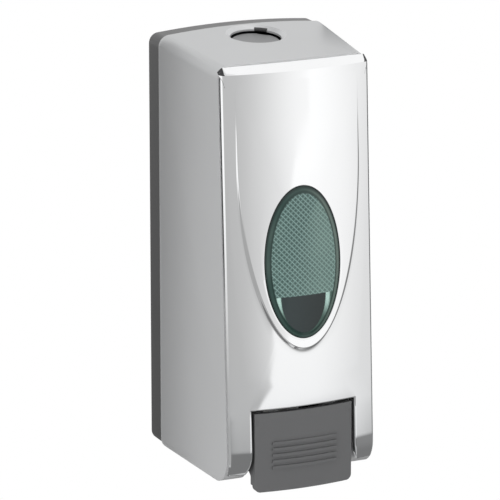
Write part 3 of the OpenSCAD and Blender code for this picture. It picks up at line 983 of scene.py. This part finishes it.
def stations(start: float, end: float, count: int) -> list[float]:
    """Even steps from after the start up to the end."""
    return [start + (end - start) * k / count for k in range(1, count + 1)]


def face_front(bm: bmesh.types.BMesh) -> None:
    """Turns the faces of an open sheet away from the wall.

    Args:
        bm: the mesh.
    """
    bmesh.ops.recalc_face_normals(bm, faces=bm.faces[:])
    if sum(face.normal.y * face.calc_area() for face in bm.faces) > 0:
        bmesh.ops.reverse_faces(bm, faces=bm.faces[:])


def soften(bm: bmesh.types.BMesh, edges: Iterable, offset: float, segments: int) -> None:
    """Rounds edges with a bevel.

    Args:
        bm: the mesh.
        edges: the edges, of which those that are gone are left out.
        offset: width of the bevel on each face.
        segments: number of faces across the bevel.
    """
    bmesh.ops.bevel(
        bm,
        geom=[edge for edge in edges if edge.is_valid],
        offset=offset,
        offset_type="OFFSET",
        segments=segments,
        profile=0.5,
        affect="EDGES",
        clamp_overlap=True,
        material=-1,
    )


# New pieces


@dataclass
class FrontPanel:
    """Chrome front: bulged, with a raised tongue, a bright top band and a rolled bottom.

    Lengths are in millimetres and angles in radians. Rings are shares of the way between two lines.
    """

    sizes: Sizes = SIZES
    sheet_share: float = 0.9
    roll_share: float = 0.6
    ease: float = 8.0
    band: float = 3.24
    band_back: float = 0.15
    band_crown: float = 0.12
    band_steps: int = 6
    end_r: float = 3.0
    end_back: float = 1.1
    end_drop: float = 2.0
    end_columns: tuple = (0.0, 0.7, 1.2)
    tongue_under: float = 3.0
    rise_power: float = 1.5
    rays: int = 264
    ray_gap: float = 0.4
    inner_rings: tuple = (0.3, 0.6, 0.78, 0.9, 0.97)
    outer_rings: tuple = (0.1, 0.2, 0.32, 0.44, 0.55, 0.66, 1.0)
    step: float = 0.7
    step_rings: int = 3
    leg_r: float = 28.0
    leg_curve: float = 10.5
    leg_steps: int = 4
    roll_steps: int = 16
    corner: float = 0.6
    edge_r: float = 1.45
    notch_r: float = 0.6
    hole_r: float = 0.3
    rim_angle: float = 0.9
    rim_near: float = 1.0
    side_near: float = 0.05
    painted_shade_in: float = 0.3
    painted_shade_out: float = 0.5
    painted_shade_facing: float = 0.85
    back_facing: float = 0.3
    crease: float = 0.17

    def panel_s(self) -> tuple[float, float]:
        """Start of the top band and the lower end, along the panel's side view."""
        s = self.sizes
        return s.panel_top - s.panel_top_r, s.roll_z - (s.roll_r + s.panel_rim) * math.asin(self.roll_share)

    def tongue_top(self) -> float:
        """Height where the tongue ends, under the top band."""
        return self.panel_s()[0] - self.tongue_under

    def profile(self, along: float) -> tuple[float, float]:
        """Side view of the panel.

        Args:
            along: length along the side view, equal to the height on the straight part.

        Returns:
            Fall from the straight part and height.
        """
        s = self.sizes
        radius = s.roll_r + s.panel_rim
        past = s.roll_z + self.ease / 2 - along
        if past <= 0:
            return 0.0, along
        if past < self.ease:
            return past**3 / (6 * self.ease * radius), along
        first = self.ease / (2 * radius)
        angle = first + (past - self.ease) / radius
        fall = self.ease**2 / (6 * radius) + radius * (math.cos(first) - math.cos(angle))
        return fall, s.roll_z - self.ease / 2 - radius * (math.sin(angle) - math.sin(first))

    def rise(self, z: float) -> float:
        """Stand of the tongue at a height.

        Args:
            z: the height.

        Returns:
            The stand over the plain surface, which grows towards the tongue's lower end.
        """
        low = self.sizes.z_bot + self.sizes.tongue_low
        top = self.tongue_top()
        share = max(0.0, min(1.0, (top - z) / (top - low)))
        return self.sizes.tongue_rise * share**self.rise_power

    def surface(self, x: float, along: float, lift: float = 0.0) -> Vector:
        """Point of the outer surface on the front plane, in millimetres.

        Args:
            x: place across the panel.
            along: length along the side view; over the start of the top band it runs up the band.
            lift: stand over the plain surface.

        Returns:
            The point.
        """
        s = self.sizes
        start = self.panel_s()[0]
        fall, z = self.profile(min(along, start))
        radius = s.front_r - fall
        low = Vector((x, s.front_r - s.bulge - math.sqrt(radius * radius - x * x) - lift, z))
        if along <= start:
            return low
        high = Vector((x, self.band_back, start + self.band))
        share = (along - start) / self.band
        way = high - low
        out = Vector((0, -way.z, way.y)).normalized()
        point = low + way * share + out * (4 * self.band_crown * share * (1 - share))
        over = max(0.0, abs(x) - s.panel_hw + self.end_r)
        turn = math.pi / 2 * over / self.end_r
        point.x += math.copysign(self.end_r * math.sin(turn) - over, x)
        point.y += self.end_back * (1 - math.cos(turn))
        point.z -= self.end_drop * share * (1 - math.cos(turn))
        return point

    def tongue_reach(self, angle: float) -> float:
        """Distance from the window's middle to the tongue's line.

        Args:
            angle: direction on the front plane.

        Returns:
            The distance: to half an oval below, to straight sides and an end above.
        """
        s = self.sizes
        c, n = math.cos(angle), math.sin(angle)
        middle = s.z_bot + s.tongue_low + s.tongue_b
        top = self.tongue_top()
        offset = s.window_z - middle
        qa = (c / s.tongue_a) ** 2 + (n / s.tongue_b) ** 2
        qb = n * offset / s.tongue_b**2
        qc = (offset / s.tongue_b) ** 2 - 1
        reach = (-qb + math.sqrt(qb * qb - qa * qc)) / qa
        if s.window_z + reach * n > middle:
            reach = s.tongue_a / max(abs(c), TINY)
            if s.window_z + reach * n > top:
                reach = (top - s.window_z) / n
        return reach

    def border_reach(self, angle: float) -> float:
        """Distance from the window's middle to the panel's flat border.

        Args:
            angle: direction on the front plane.

        Returns:
            The distance to the nearest of the sides, the top band and the cut-out.
        """
        s = self.sizes
        c, n = math.cos(angle), math.sin(angle)
        side = s.panel_hw / max(abs(c), TINY)
        end = (self.panel_s()[0] - s.window_z) if n > 0 else (s.window_z - s.cut_top)
        return min(side, end / max(abs(n), TINY))

    def window_reach(self, angle: float) -> float:
        """Distance from the window's middle to its hole in a direction."""
        s = self.sizes
        return 1 / math.hypot(math.cos(angle) / s.window_a, math.sin(angle) / s.window_b)

    def leg_width(self, along: float) -> float:
        """Width of a leg beside the lever, which narrows in an arc towards its lower end.

        Args:
            along: length along the side view.

        Returns:
            The width.
        """
        s = self.sizes
        past = max(0.0, self.panel_s()[1] + self.leg_curve - along)
        return s.panel_hw - s.cut_hw - self.leg_r + math.sqrt(self.leg_r**2 - past**2)

    def angles(self) -> list[float]:
        """Directions of the mesh's rays.

        Returns:
            Even directions and one through each corner.
        """
        s = self.sizes
        start = self.panel_s()[0] - s.window_z
        low = s.cut_top - s.window_z
        corners = [math.atan2(z, x) % math.tau for x in (-s.panel_hw, s.panel_hw) for z in (start, low)]
        corners += [math.atan2(low, x) % math.tau for x in (-s.cut_hw, s.cut_hw)]
        ends = [s.panel_hw - self.end_r + column for column in self.end_columns]
        corners += [math.atan2(start, side * x) for side in (-1, 1) for x in ends]
        corners += [math.atan2(start - self.corner, side * s.panel_hw) for side in (-1, 1)]
        width = math.tau / self.rays
        gap = self.ray_gap * width
        plain = [width * i for i in range(self.rays)]
        return sorted([a for a in plain if min(abs(a - c) for c in corners) > gap] + corners)

    def rings(self) -> list[tuple[Callable[[float], float], float]]:
        """Rings of the sheet, from the window out to the border.

        Returns:
            Each ring's distance over the direction and its share of the tongue's rise.
        """

        def beside(off: float) -> Callable[[float], float]:
            """Ring at a distance from the tongue's line."""
            return lambda angle: self.tongue_reach(angle) + off

        def between(near: Callable, far: Callable, share: float) -> Callable[[float], float]:
            """Ring at a share of the way between two others."""
            return lambda angle: near(angle) * (1 - share) + far(angle) * share

        inner, outer = beside(-self.step), beside(self.step)
        rings = [(self.window_reach, 1.0)]
        rings += [(between(self.window_reach, inner, share), 1.0) for share in self.inner_rings]
        for k in range(-self.step_rings, self.step_rings + 1):
            way = k / self.step_rings
            rings.append((beside(self.step * way), 0.5 - 0.5 * math.sin(math.pi / 2 * way)))
        rings += [(between(outer, self.border_reach, share), 0.0) for share in self.outer_rings]
        return rings

    def sheet(self) -> tuple[bmesh.types.BMesh, Any]:
        """Flat mesh of the outer skin over width and length.

        Returns:
            The mesh and the layer of the tongue's lift.
        """
        s = self.sizes
        bm = bmesh.new()
        lift = bm.verts.layers.float.new("lift")
        crisp = bm.edges.layers.int.new("crisp")
        angles, rings = self.angles(), self.rings()
        ray, row = numbered_circle(bm, len(angles))

        def put(vertex: Any, reach: Callable[[float], float], share: float) -> Vector:
            """Notes the tongue's lift at a vertex.

            Args:
                vertex: a vertex with the number of its ray.
                reach: distance of its ring over the direction.
                share: the ring's share of the tongue's rise.

            Returns:
                Its place on the ray.
            """
            angle = angles[vertex[ray]]
            away = reach(angle)
            z = s.window_z + away * math.sin(angle)
            vertex[lift] = share * self.rise(z)
            return Vector((away * math.cos(angle), 0, z))

        def leg_point(vertex: Any, along: float) -> Vector:
            """Draws a leg's vertex away from the lever as the leg narrows.

            Args:
                vertex: a vertex of the row before.
                along: length along the side view.

            Returns:
                Its place in the next row.
            """
            share = self.leg_width(along) / self.leg_width(vertex.co.z)
            x = s.panel_hw - (s.panel_hw - abs(vertex.co.x)) * share
            return Vector((math.copysign(x, vertex.co.x), 0, along))

        for vertex in bm.verts:
            vertex.co = put(vertex, *rings[0])
        for ring in rings[1:]:
            row = grow(bm, row, lambda v, ring=ring: put(v, *ring))
        start, low = self.panel_s()
        legs = edges_at(row, s.cut_top, s.cut_hw)
        band = edges_at(row, start)
        bend = s.roll_z + self.ease / 2
        for z in stations(s.cut_top, bend, self.leg_steps) + stations(bend, low, self.roll_steps):
            legs = grow(bm, legs, lambda v, z=z: leg_point(v, z))
        for edge in band:
            edge[crisp] = 1
        for z in stations(start, start + self.band, self.band_steps):
            band = grow(bm, band, lambda v, z=z: Vector((v.co.x, 0, z)))
        return bm, lift

    def paint_edge_shade(self, bm: bmesh.types.BMesh) -> None:
        """Paints shade on the outer bevel faces beside the panel's borders, for the gap there, and on the
        corners of its top band.

        Args:
            bm: the bevelled mesh on the front plane, in millimetres.
        """
        crisp = bm.edges.layers.int["crisp"]
        inner = self.sizes.panel_hw - self.edge_r - self.painted_shade_in
        start = self.panel_s()[0]
        for face in bm.faces:
            middle = face.calc_center_median()
            beside = abs(middle.x) > inner + self.painted_shade_out and abs(face.normal.x) > self.painted_shade_facing
            across = abs(middle.x) - self.sizes.panel_hw + self.end_r
            ending = middle.z > start - self.painted_shade_in and across > self.end_columns[1]
            # faces beside the borders and at the band's ends get the painted shade
            if face.normal.y < self.back_facing and (beside or ending):
                face.material_index = 1
        for edge in bm.edges:
            near = all(abs(v.co.x) > inner for v in edge.verts)
            if near and len(edge.link_faces) == 2 and edge.calc_face_angle() > self.crease:
                edge[crisp] = 1

    def round_rims(self, bm: bmesh.types.BMesh, outer: set) -> None:
        """Rounds the sides, the cut-out and the window's hole.

        Args:
            bm: the sheet with its thickness, in millimetres.
            outer: vertices of the outer skin.
        """
        s = self.sizes
        side, hole, notch = [], [], []
        for edge in bm.edges:
            if not set(edge.verts) <= outer or len(edge.link_faces) != 2:
                continue
            if edge.calc_face_angle() <= self.rim_angle:
                continue
            middle = (edge.verts[0].co + edge.verts[1].co) / 2
            beside_hole = abs(middle.x) < s.window_a + self.rim_near
            if abs(middle.x) > s.panel_hw - self.side_near and middle.z < self.panel_s()[0]:
                side.append(edge)
            elif abs(middle.z - s.window_z) < s.window_b + self.rim_near and beside_hole:
                hole.append(edge)
            elif middle.z < s.cut_top + self.rim_near:
                notch.append(edge)
        soften(bm, side, self.edge_r, 2)
        soften(bm, notch, self.notch_r, 3)
        soften(bm, hole, self.hole_r, 2)
        bm.normal_update()

    def build(self, material: bpy.types.Material, dark: bpy.types.Material) -> bpy.types.Object:
        """Makes the panel and dresses it.

        Args:
            material: the chrome.
            dark: painted shade for the gap beside the borders and for the top band's ends.

        Returns:
            The panel's object.
        """
        bm, lift = self.sheet()
        for vertex in bm.verts:
            vertex.co = self.surface(vertex.co.x, vertex.co.z, vertex[lift])
        face_front(bm)
        outer = set(bm.verts)
        bmesh.ops.solidify(bm, geom=bm.faces[:], thickness=self.sizes.panel_t * self.sheet_share)
        bm.normal_update()
        self.round_rims(bm, outer)
        self.paint_edge_shade(bm)
        bm.transform(self.sizes.front_matrix())
        piece = Piece("front_panel_chrome", "cover", Slot.CHROME, ("front_panel",), 36.0)
        return piece.finish(bm, material, dark)


@dataclass
class WindowLens:
    """Domed oval lens with a sloped rim and its flange behind the panel.

    Steps are insets from the window's hole and stands over the tongue, from the back to the front.
    """

    panel: FrontPanel
    sizes: Sizes = SIZES
    segments: int = 128
    steps: tuple = ((0.12, -2.6), (0.12, -0.15), (0.3, 0.0), (2.3, 0.5), (2.5, 0.62), (2.7, 0.66))
    dome_rise: float = 0.35
    dome_rings: int = 12
    thick: float = 1.6

    def build(self, material: bpy.types.Material) -> bpy.types.Object:
        """Makes the lens and dresses it.

        Args:
            material: the green plastic.

        Returns:
            The lens' object.
        """
        s = self.sizes
        bm = bmesh.new()
        ray, row = numbered_circle(bm, self.segments)

        def put(vertex: Any, inset: float, stand: float, share: float = 1.0) -> Vector:
            """Puts a vertex on an oval of the lens.

            Args:
                vertex: a vertex with its number.
                inset: distance of the oval from the window's hole.
                stand: height over the tongue.
                share: share of the oval's size.

            Returns:
                Its place on the front plane.
            """
            angle = math.tau * vertex[ray] / self.segments
            x = (s.window_a - inset) * share * math.cos(angle)
            z = s.window_z + (s.window_b - inset) * share * math.sin(angle)
            return self.panel.surface(x, z, self.panel.rise(z) + stand)

        for vertex in bm.verts:
            vertex.co = put(vertex, *self.steps[0])
        for ring in self.steps[1:]:
            row = grow(bm, row, lambda v, ring=ring: put(v, *ring))
        inset, stand = self.steps[-1]
        for k in range(1, self.dome_rings):
            share = 1 - k / self.dome_rings
            ring = (inset, stand + self.dome_rise * (1 - share * share), share)
            row = grow(bm, row, lambda v, ring=ring: put(v, *ring))
        filled = bmesh.ops.edgeloop_fill(bm, edges=row)["faces"]
        bmesh.ops.poke(bm, faces=filled)
        face_front(bm)
        bmesh.ops.solidify(bm, geom=bm.faces[:], thickness=self.thick)
        bm.transform(s.front_matrix())
        return Piece("window_lens_dome", "cover", Slot.LENS, ("window_lens",), 50.0).finish(bm, material)


@dataclass
class LeverWebs:
    """Webs behind the lever's flanges, hollowed out towards its lower end."""

    sizes: Sizes = SIZES
    sunk: float = 0.3
    hollow_r: float = 4.8
    low: float = 0.4
    top: float = 17.0
    top_depth: float = 1.7
    thick: float = 1.6
    steps: int = 10

    def build(self, material: bpy.types.Material) -> bpy.types.Object:
        """Makes both webs and dresses them.

        Args:
            material: the dark plastic.

        Returns:
            The webs' object.
        """
        s = self.sizes
        bm = bmesh.new()
        front, low = s.lever_flange - s.lever_face - self.sunk, s.z_bot + self.low
        for side in (-1, 1):
            x = side * (s.lever_w / 2 - self.sunk)
            first = bm.verts.new((x, front, low))
            middle = (x, front + self.hollow_r, low)
            bmesh.ops.spin(
                bm, geom=[first], cent=middle, axis=(-1, 0, 0), angle=math.pi / 2, steps=self.steps
            )
            arc = sorted((v for v in bm.verts if v.co.x == first.co.x), key=lambda v: v.co.y)
            ends = [bm.verts.new((x, front + depth, s.z_bot + self.top)) for depth in (self.top_depth, 0)]
            face = bm.faces.new([*arc, *ends])
            made = bmesh.ops.extrude_face_region(bm, geom=[face])["geom"]
            moved = [part for part in made if isinstance(part, bmesh.types.BMVert)]
            bmesh.ops.translate(bm, vec=(-side * self.thick, 0, 0), verts=moved)
        bmesh.ops.recalc_face_normals(bm, faces=bm.faces[:])
        bm.transform(Matrix.Scale(MM, 4))
        return Piece("lever_webs", "lever", Slot.DARK).finish(bm, material)


@dataclass
class KeyGuide:
    """Dark guide for the key in the bevel of the button's hole, towards the wall on the right.

    Foot and brow are the corners of its section: out from the hole's wall, and up.
    """

    sizes: Sizes = SIZES
    finish: Finish = MouldedPlastic((0.035, 0.035, 0.036), 0.4)
    middle: float = 55.0
    spread: float = 29.0
    steps: int = 10
    foot: tuple = ((-0.2, -2.3), (0.3, -2.3))
    brow: tuple = ((0.75, -1.1), (0.7, -0.8), (0.45, -0.86), (0.2, -1.1), (-0.2, -1.4))
    crease: float = 0.6
    edge_r: float = 0.1

    def build(self) -> bpy.types.Object:
        """Makes the guide and dresses it.

        Returns:
            The guide's object.
        """
        s = self.sizes
        bm = bmesh.new()
        start = Matrix.Rotation(math.radians(self.middle - self.spread / 2), 4, "Z")
        section = [Vector((s.latch_hole_r + out, 0, z)) for out, z in (*self.foot, *self.brow)]
        face = bm.faces.new([bm.verts.new(start @ corner) for corner in section])
        bmesh.ops.spin(
            bm,
            geom=[face, *face.edges, *face.verts],
            cent=(0, 0, 0),
            axis=(0, 0, 1),
            angle=math.radians(self.spread),
            steps=self.steps,
        )
        bmesh.ops.recalc_face_normals(bm, faces=bm.faces[:])
        soften(bm, [edge for edge in bm.edges if edge.calc_face_angle(0) > self.crease], self.edge_r, 2)
        bm.transform(s.latch_matrix())
        return Piece("key_guide", "cover", Slot.DARK).finish(bm, self.finish.material("guide_plastic"))


@dataclass
class CoilSprings:
    """Springs of the solids that the record lists as changing length, remade as pieces."""

    merge: float = 0.001
    sharp: float = 60.0

    def build(self, material: bpy.types.Material) -> None:
        """Makes each spring that the record lists as changing its length.

        Args:
            material: the steel.
        """
        for joint in frame["record"]["behaviour"]["joints"]:
            for row in joint.get("deforming_nodes", ()):
                self.spring(row, material)

    def spring(self, row: dict, material: bpy.types.Material) -> None:
        """Makes one spring from its solid.

        Args:
            row: the joint's row on the spring.
            material: the steel.
        """
        node, letter = row["node"], row["mode"][-1]
        axis = "xyz".index(letter)
        bm = bmesh.new()
        bm.from_mesh(frame["nodes"][node].data)
        bmesh.ops.remove_doubles(bm, verts=bm.verts[:], dist=self.merge * MM)
        piece = Piece(f"{node}_coil", "base", Slot.STEEL, (node,), self.sharp).finish(bm, material)
        way, anchor = Vector(), Vector()
        way[axis] = 1.0
        anchor[axis] = row[f"fixed_end_{letter}_m"]
        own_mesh(piece)


# Pieces kept from the solids


@dataclass
class Works:
    """Solids that keep their shape and get their finish."""

    finishes: dict = field(
        default_factory=lambda: {
            Slot.DARK: MouldedPlastic((0.092, 0.093, 0.095), 0.46),
            Slot.SATIN: SatinPaint(),
            Slot.CHROME: ChromePlate(),
            Slot.LENS: LensPlastic(),
            Slot.TANK: MilkyPlastic(),
            Slot.WHITE: MouldedPlastic((0.74, 0.745, 0.74), 0.38, 900.0),
            Slot.STEEL: TurnedSteel(),
            Slot.RUBBER: SealRubber(),
            Slot.SOFT: SealRubber((0.50, 0.34, 0.29), (0.58, 0.43, 0.38)),
        }
    )

    own: dict = field(
        default_factory=lambda: {
            "back_plate": MouldedPlastic((0.060, 0.060, 0.061), 0.34),
            # painted shade: a darker copy of the satin paint for the button, which sits in shade down its
            # hole
            "release_button": SatinPaint((0.225, 0.227, 0.23), 0.5),
        }
    )

    def materials(self) -> dict[Slot, bpy.types.Material]:
        """Makes one material for each slot."""
        return {slot: finish.material(slot.value) for slot, finish in self.finishes.items()}

    def dress(self, materials: dict[Slot, bpy.types.Material]) -> None:
        """Gives every node of the solids its own finish or that of its slot; the button's own finish is the
        satin paint darkened as painted shade.

        Args:
            materials: material of each slot.
        """
        for row in frame["record"]["subparts"]:
            node = frame["nodes"][row["node"]]
            node.data.materials.clear()
            own = self.own.get(row["node"])
            material = own.material(row["node"]) if own else materials[Slot(row["material_slot"])]
            node.data.materials.append(material)
            log.info("node %s: %s", row["node"], row["material_slot"])


# Studio


@dataclass(frozen=True)
class Area:
    """Soft-edged area of the light tent: pairs of where a ramp starts and ends, over turn and height."""

    turns: tuple = ()
    heights: tuple = ()

    def mask(self, turn: Value, height: Value) -> Value:
        """Share of the area in a direction.

        Args:
            turn: angle round the dispenser.
            height: upward part of the direction.

        Returns:
            1 inside and 0 outside.
        """
        ramps = [turn.ramp(*pair) for pair in self.turns] + [height.ramp(*pair) for pair in self.heights]
        return math.prod(ramps[1:], start=ramps[0])


@dataclass(frozen=True)
class Patch:
    """Patch of the light tent with its own level, to which a gain is added over one area."""

    level: float
    areas: tuple[Area, ...]
    gain: float = 0.0
    gain_area: Area | None = None

    def over(self, tent: Value, turn: Value, height: Value) -> Value:
        """Lays the patch over the tent.

        Args:
            tent: level of the tent so far.
            turn: angle round the dispenser.
            height: upward part of the direction.

        Returns:
            The new level.
        """
        level = self.level
        if self.gain_area:
            level = level + self.gain_area.mask(turn, height) * self.gain
        mask = functools.reduce(Value.most, [area.mask(turn, height) for area in self.areas])
        return tent + (level - tent) * mask


@dataclass(frozen=True)
class Backdrop:
    """White for the camera, a soft light tent for reflections and plain soft light for the rest.

    Turns are in radians, 0 straight ahead and positive to the right. Heights are the upward part of a
    direction. A pair that is named for one of them is where a ramp starts and where it ends. The loss of
    the fade, the card and the slope of the edge are a base value and the weights of what is added to it.
    """

    white: float = 1.0
    plain: float = 0.36
    chrome: float = 0.93
    fade_low: float = -0.215
    fade_h: float = 0.075
    wall: float = 0.5
    wall_gain: float = 0.41
    wall_turn: tuple = (-0.10, 0.46)
    wall_shift: float = 0.12
    shift_height: tuple = (-0.200, -0.213)
    fade_loss: tuple = (0.04, 0.14)
    fade_turn: tuple = (-0.08, -0.165)
    foot_loss: float = 0.08
    foot_height: tuple = (-0.214, -0.224)
    card: tuple = (0.89, 0.12, -0.25)
    card_turn: tuple = (0.45, 1.2)
    edge_low: float = -0.21
    edge_slope: tuple = (0.0, 3.3, 0.09)
    edge_height: tuple = (-0.1385, -0.1305)
    edge_turn: tuple = (0.126, 0.164)
    left: Patch = Patch(0.45, (Area(((-0.28, -0.46),)),), 0.6, Area((), ((-0.235, -0.175),)))
    right: Patch = Patch(0.16, (Area(((1.10, 1.40), (2.6, 2.2)), ((0.15, 0.0),)),))
    ground: Patch = Patch(
        0.19, (Area(((-2.3, -1.7),), ((-0.224, -0.262),)),), 0.05, Area(((0.5, 0.9),), ((-0.65, -0.28),))
    )
    glow: Patch = Patch(
        0.40,
        (
            Area(((-0.10, -0.26), (-0.95, -0.65)), ((-0.215, -0.25),)),
            Area(((-0.10, -0.26), (-1.5, -1.1)), ((-0.215, -0.25), (-0.64, -0.54))),
        ),
        0.35,
        Area((), ((-0.48, -0.66),)),
    )
    beam: Patch = Patch(0.6, (Area(((0.28, 0.46), (0.82, 0.64)), ((-0.42, -0.56),)),))
    dome: Patch = Patch(1.0, (Area((), ((0.12, 0.33),)),), -0.5, Area(((0.35, -0.25),), ((0.60, 0.80),)))

    def front(self, turn: Value, height: Value) -> Value:
        """Front of the tent: a grey wall and a bright card on its right, with a leaning edge.

        The levels are written as the chrome shows them, so they are divided by its own brightness.

        Args:
            turn: angle round the dispenser.
            height: upward part of the direction.

        Returns:
            Its level.
        """
        share = ((height - self.fade_low) / self.fade_h).most(0.0).least(1.0)
        shift = height.ramp(*self.shift_height) * self.wall_shift
        wall = self.wall + (turn - shift).ramp(*self.wall_turn) * self.wall_gain
        wall = wall - (1.0 - share) * layered(self.fade_loss, turn.ramp(*self.fade_turn))
        wall = wall - height.ramp(*self.foot_height) * self.foot_loss
        card = layered(self.card, share, turn.ramp(*self.card_turn))
        line = layered(self.edge_slope, height - self.edge_low, height.ramp(*self.edge_height))
        edge = (turn - line).ramp(*self.edge_turn)
        return (wall * (1.0 - edge) + card * edge) / self.chrome

    def build(self) -> None:
        """Sets up the world."""
        world = bpy.data.worlds.new("studio")
        bpy.context.scene.world = world
        world.use_nodes = True
        graph = Graph(world.node_tree)

        def light(strength: Value | float) -> Value:
            """White light of a strength."""
            return graph.node("ShaderNodeBackground", None, {"Color": (1, 1, 1, 1), "Strength": strength})

        path = graph.node("ShaderNodeLightPath")
        way = graph.node("ShaderNodeTexCoord").output("Generated")
        split = graph.node("ShaderNodeSeparateXYZ", None, {0: way})
        turn, height = split.math("ARCTAN2", split, 0.0 - split.output("Y")), split.output("Z")
        tent = self.front(turn, height)
        for patch in (self.left, self.right, self.ground, self.glow, self.beam, self.dome):
            tent = patch.over(tent, turn, height)
        mirrored = path.output("Is Glossy Ray").most(path.output("Is Transmission Ray"))
        lit = graph.node("ShaderNodeMixShader", None, {0: mirrored, 1: light(self.plain), 2: light(tent)})
        seen = {0: path.output("Is Camera Ray"), 1: lit, 2: light(self.white)}
        graph.node("ShaderNodeOutputWorld", None, {"Surface": graph.node("ShaderNodeMixShader", None, seen)})


@dataclass(frozen=True)
class Lamp:
    """Soft lamp that looks at the dispenser, with places and sizes in metres and power in watts."""

    name: str
    place: tuple
    power: float
    size: tuple
    aim: tuple = (0, -0.04, 0)

    def build(self) -> None:
        """Hangs the lamp, out of sight of reflections."""
        data = bpy.data.lights.new(self.name, "AREA")
        data.energy = self.power
        data.shape = "RECTANGLE"
        data.size, data.size_y = self.size
        lamp = bpy.data.objects.new(self.name, data)
        lamp.location = self.place
        lamp.rotation_mode = "QUATERNION"
        lamp.rotation_quaternion = (Vector(self.aim) - Vector(self.place)).to_track_quat("-Z", "Y")
        lamp.visible_glossy = False
        bpy.context.scene.collection.objects.link(lamp)


@dataclass
class Studio:
    """Camera, lamps, backdrop, floor and flags.

    The camera's angles are in degrees, its focal length and the picture's width in pixels. The floor is in
    metres, and all other places are in millimetres.
    """

    turn: float = -24.33
    pitch: float = 15.64
    picture_w: float = 500.0
    focal: float = 3956.32
    sensor: float = 36.0
    clip: tuple = (0.05, 50.0)
    aim: tuple = (0, -35.0, 0)
    distance: float = 1701.0
    right: float = -6.43
    up: float = -0.48
    floor_z: float = -1.9
    floor_hw: float = 3.5
    floor_colour: tuple = (0.8, 0.8, 0.8, 1)
    flag_x: tuple = (39.4, 58.0)
    flag_y: float = -10.9
    flag_z: float = 105.0
    flag_colour: tuple = (0.02, 0.02, 0.02, 1)
    lamps: tuple = (
        Lamp("top", (-0.05, -0.25, 1.0), 8.4, (0.9, 0.9)),
        Lamp("left", (-0.40, -0.25, -0.08), 1.4, (0.12, 0.5)),
        Lamp("front", (0.75, -0.85, 0.0), 7.5, (0.8, 0.8)),
        Lamp("low", (-0.20, -0.40, -0.60), 0.8, (0.3, 0.3)),
    )

    def camera(self) -> None:
        """Puts the camera at the photograph's angle."""
        a, e = math.radians(self.turn), math.radians(self.pitch)
        back = Vector((math.sin(a) * math.cos(e), -math.cos(a) * math.cos(e), math.sin(e)))
        across = Vector((math.cos(a), math.sin(a), 0))
        upward = back.cross(across)
        data = bpy.data.cameras.new("camera")
        data.sensor_width = self.sensor
        data.lens = self.sensor * self.focal / self.picture_w
        data.clip_start, data.clip_end = self.clip
        camera = bpy.data.objects.new("camera", data)
        place = Vector(self.aim) + back * self.distance + across * self.right + upward * self.up
        camera.location = place * MM
        camera.rotation_mode = "QUATERNION"
        camera.rotation_quaternion = (-back).to_track_quat("-Z", "Y")
        bpy.context.scene.collection.objects.link(camera)
        bpy.context.scene.camera = camera

    def floor(self) -> None:
        """Lays a pale floor far under the dispenser, white for the camera."""
        material, graph = node_material("pale_floor")
        path = graph.node("ShaderNodeLightPath")
        matt = graph.node("ShaderNodeBsdfDiffuse", None, {"Color": self.floor_colour})
        white = graph.node("ShaderNodeEmission", None, {"Color": (1, 1, 1, 1), "Strength": 1.0})
        seen = {0: path.output("Is Camera Ray"), 1: matt, 2: white}
        mixed = graph.node("ShaderNodeMixShader", None, seen)
        graph.node("ShaderNodeOutputMaterial", None, {"Surface": mixed})
        bm = bmesh.new()
        bmesh.ops.create_grid(bm, x_segments=1, y_segments=1, size=self.floor_hw)
        bmesh.ops.translate(bm, vec=(0, 0, self.floor_z), verts=bm.verts[:])
        floor = mesh_object("floor", bm, material)
        floor.visible_glossy = False

    def flags(self) -> None:
        """Puts up dark cards beside the dispenser, out of sight, that shade its sides near the wall."""
        material, graph = node_material("dark_card")
        matt = graph.node("ShaderNodeBsdfDiffuse", None, {"Color": self.flag_colour})
        graph.node("ShaderNodeOutputMaterial", None, {"Surface": matt})
        inner, outer = self.flag_x
        for side in (-1, 1):
            bm = bmesh.new()
            bmesh.ops.create_grid(bm, x_segments=1, y_segments=1, size=1.0)
            for vertex in bm.verts:
                x = inner if vertex.co.x < 0 else outer
                vertex.co = Vector((side * x, self.flag_y, vertex.co.y * self.flag_z)) * MM
            flag = mesh_object("flag", bm, material)
            flag.visible_camera = False
            flag.visible_transmission = False

    def build(self) -> None:
        """Sets up the whole studio."""
        bpy.context.scene.view_settings.view_transform = "Standard"
        self.camera()
        Backdrop().build()
        self.floor()
        self.flags()
        for lamp in self.lamps:
            lamp.build()


def main() -> None:
    """Builds the dispenser and its studio."""
    logging.basicConfig(level=logging.INFO, format="%(name)s: %(message)s")
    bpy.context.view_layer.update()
    Studio().build()
    works = Works()
    materials = works.materials()
    works.dress(materials)
    panel = FrontPanel()
    # the second material paints shade on the panel's border bevels and band ends
    panel.build(materials[Slot.CHROME], PaintedGapShade().material("painted_gap_shade"))
    WindowLens(panel).build(materials[Slot.LENS])
    LeverWebs().build(materials[Slot.DARK])
    KeyGuide().build()
    CoilSprings().build(materials[Slot.STEEL])


if __name__ == "__main__":
    main()
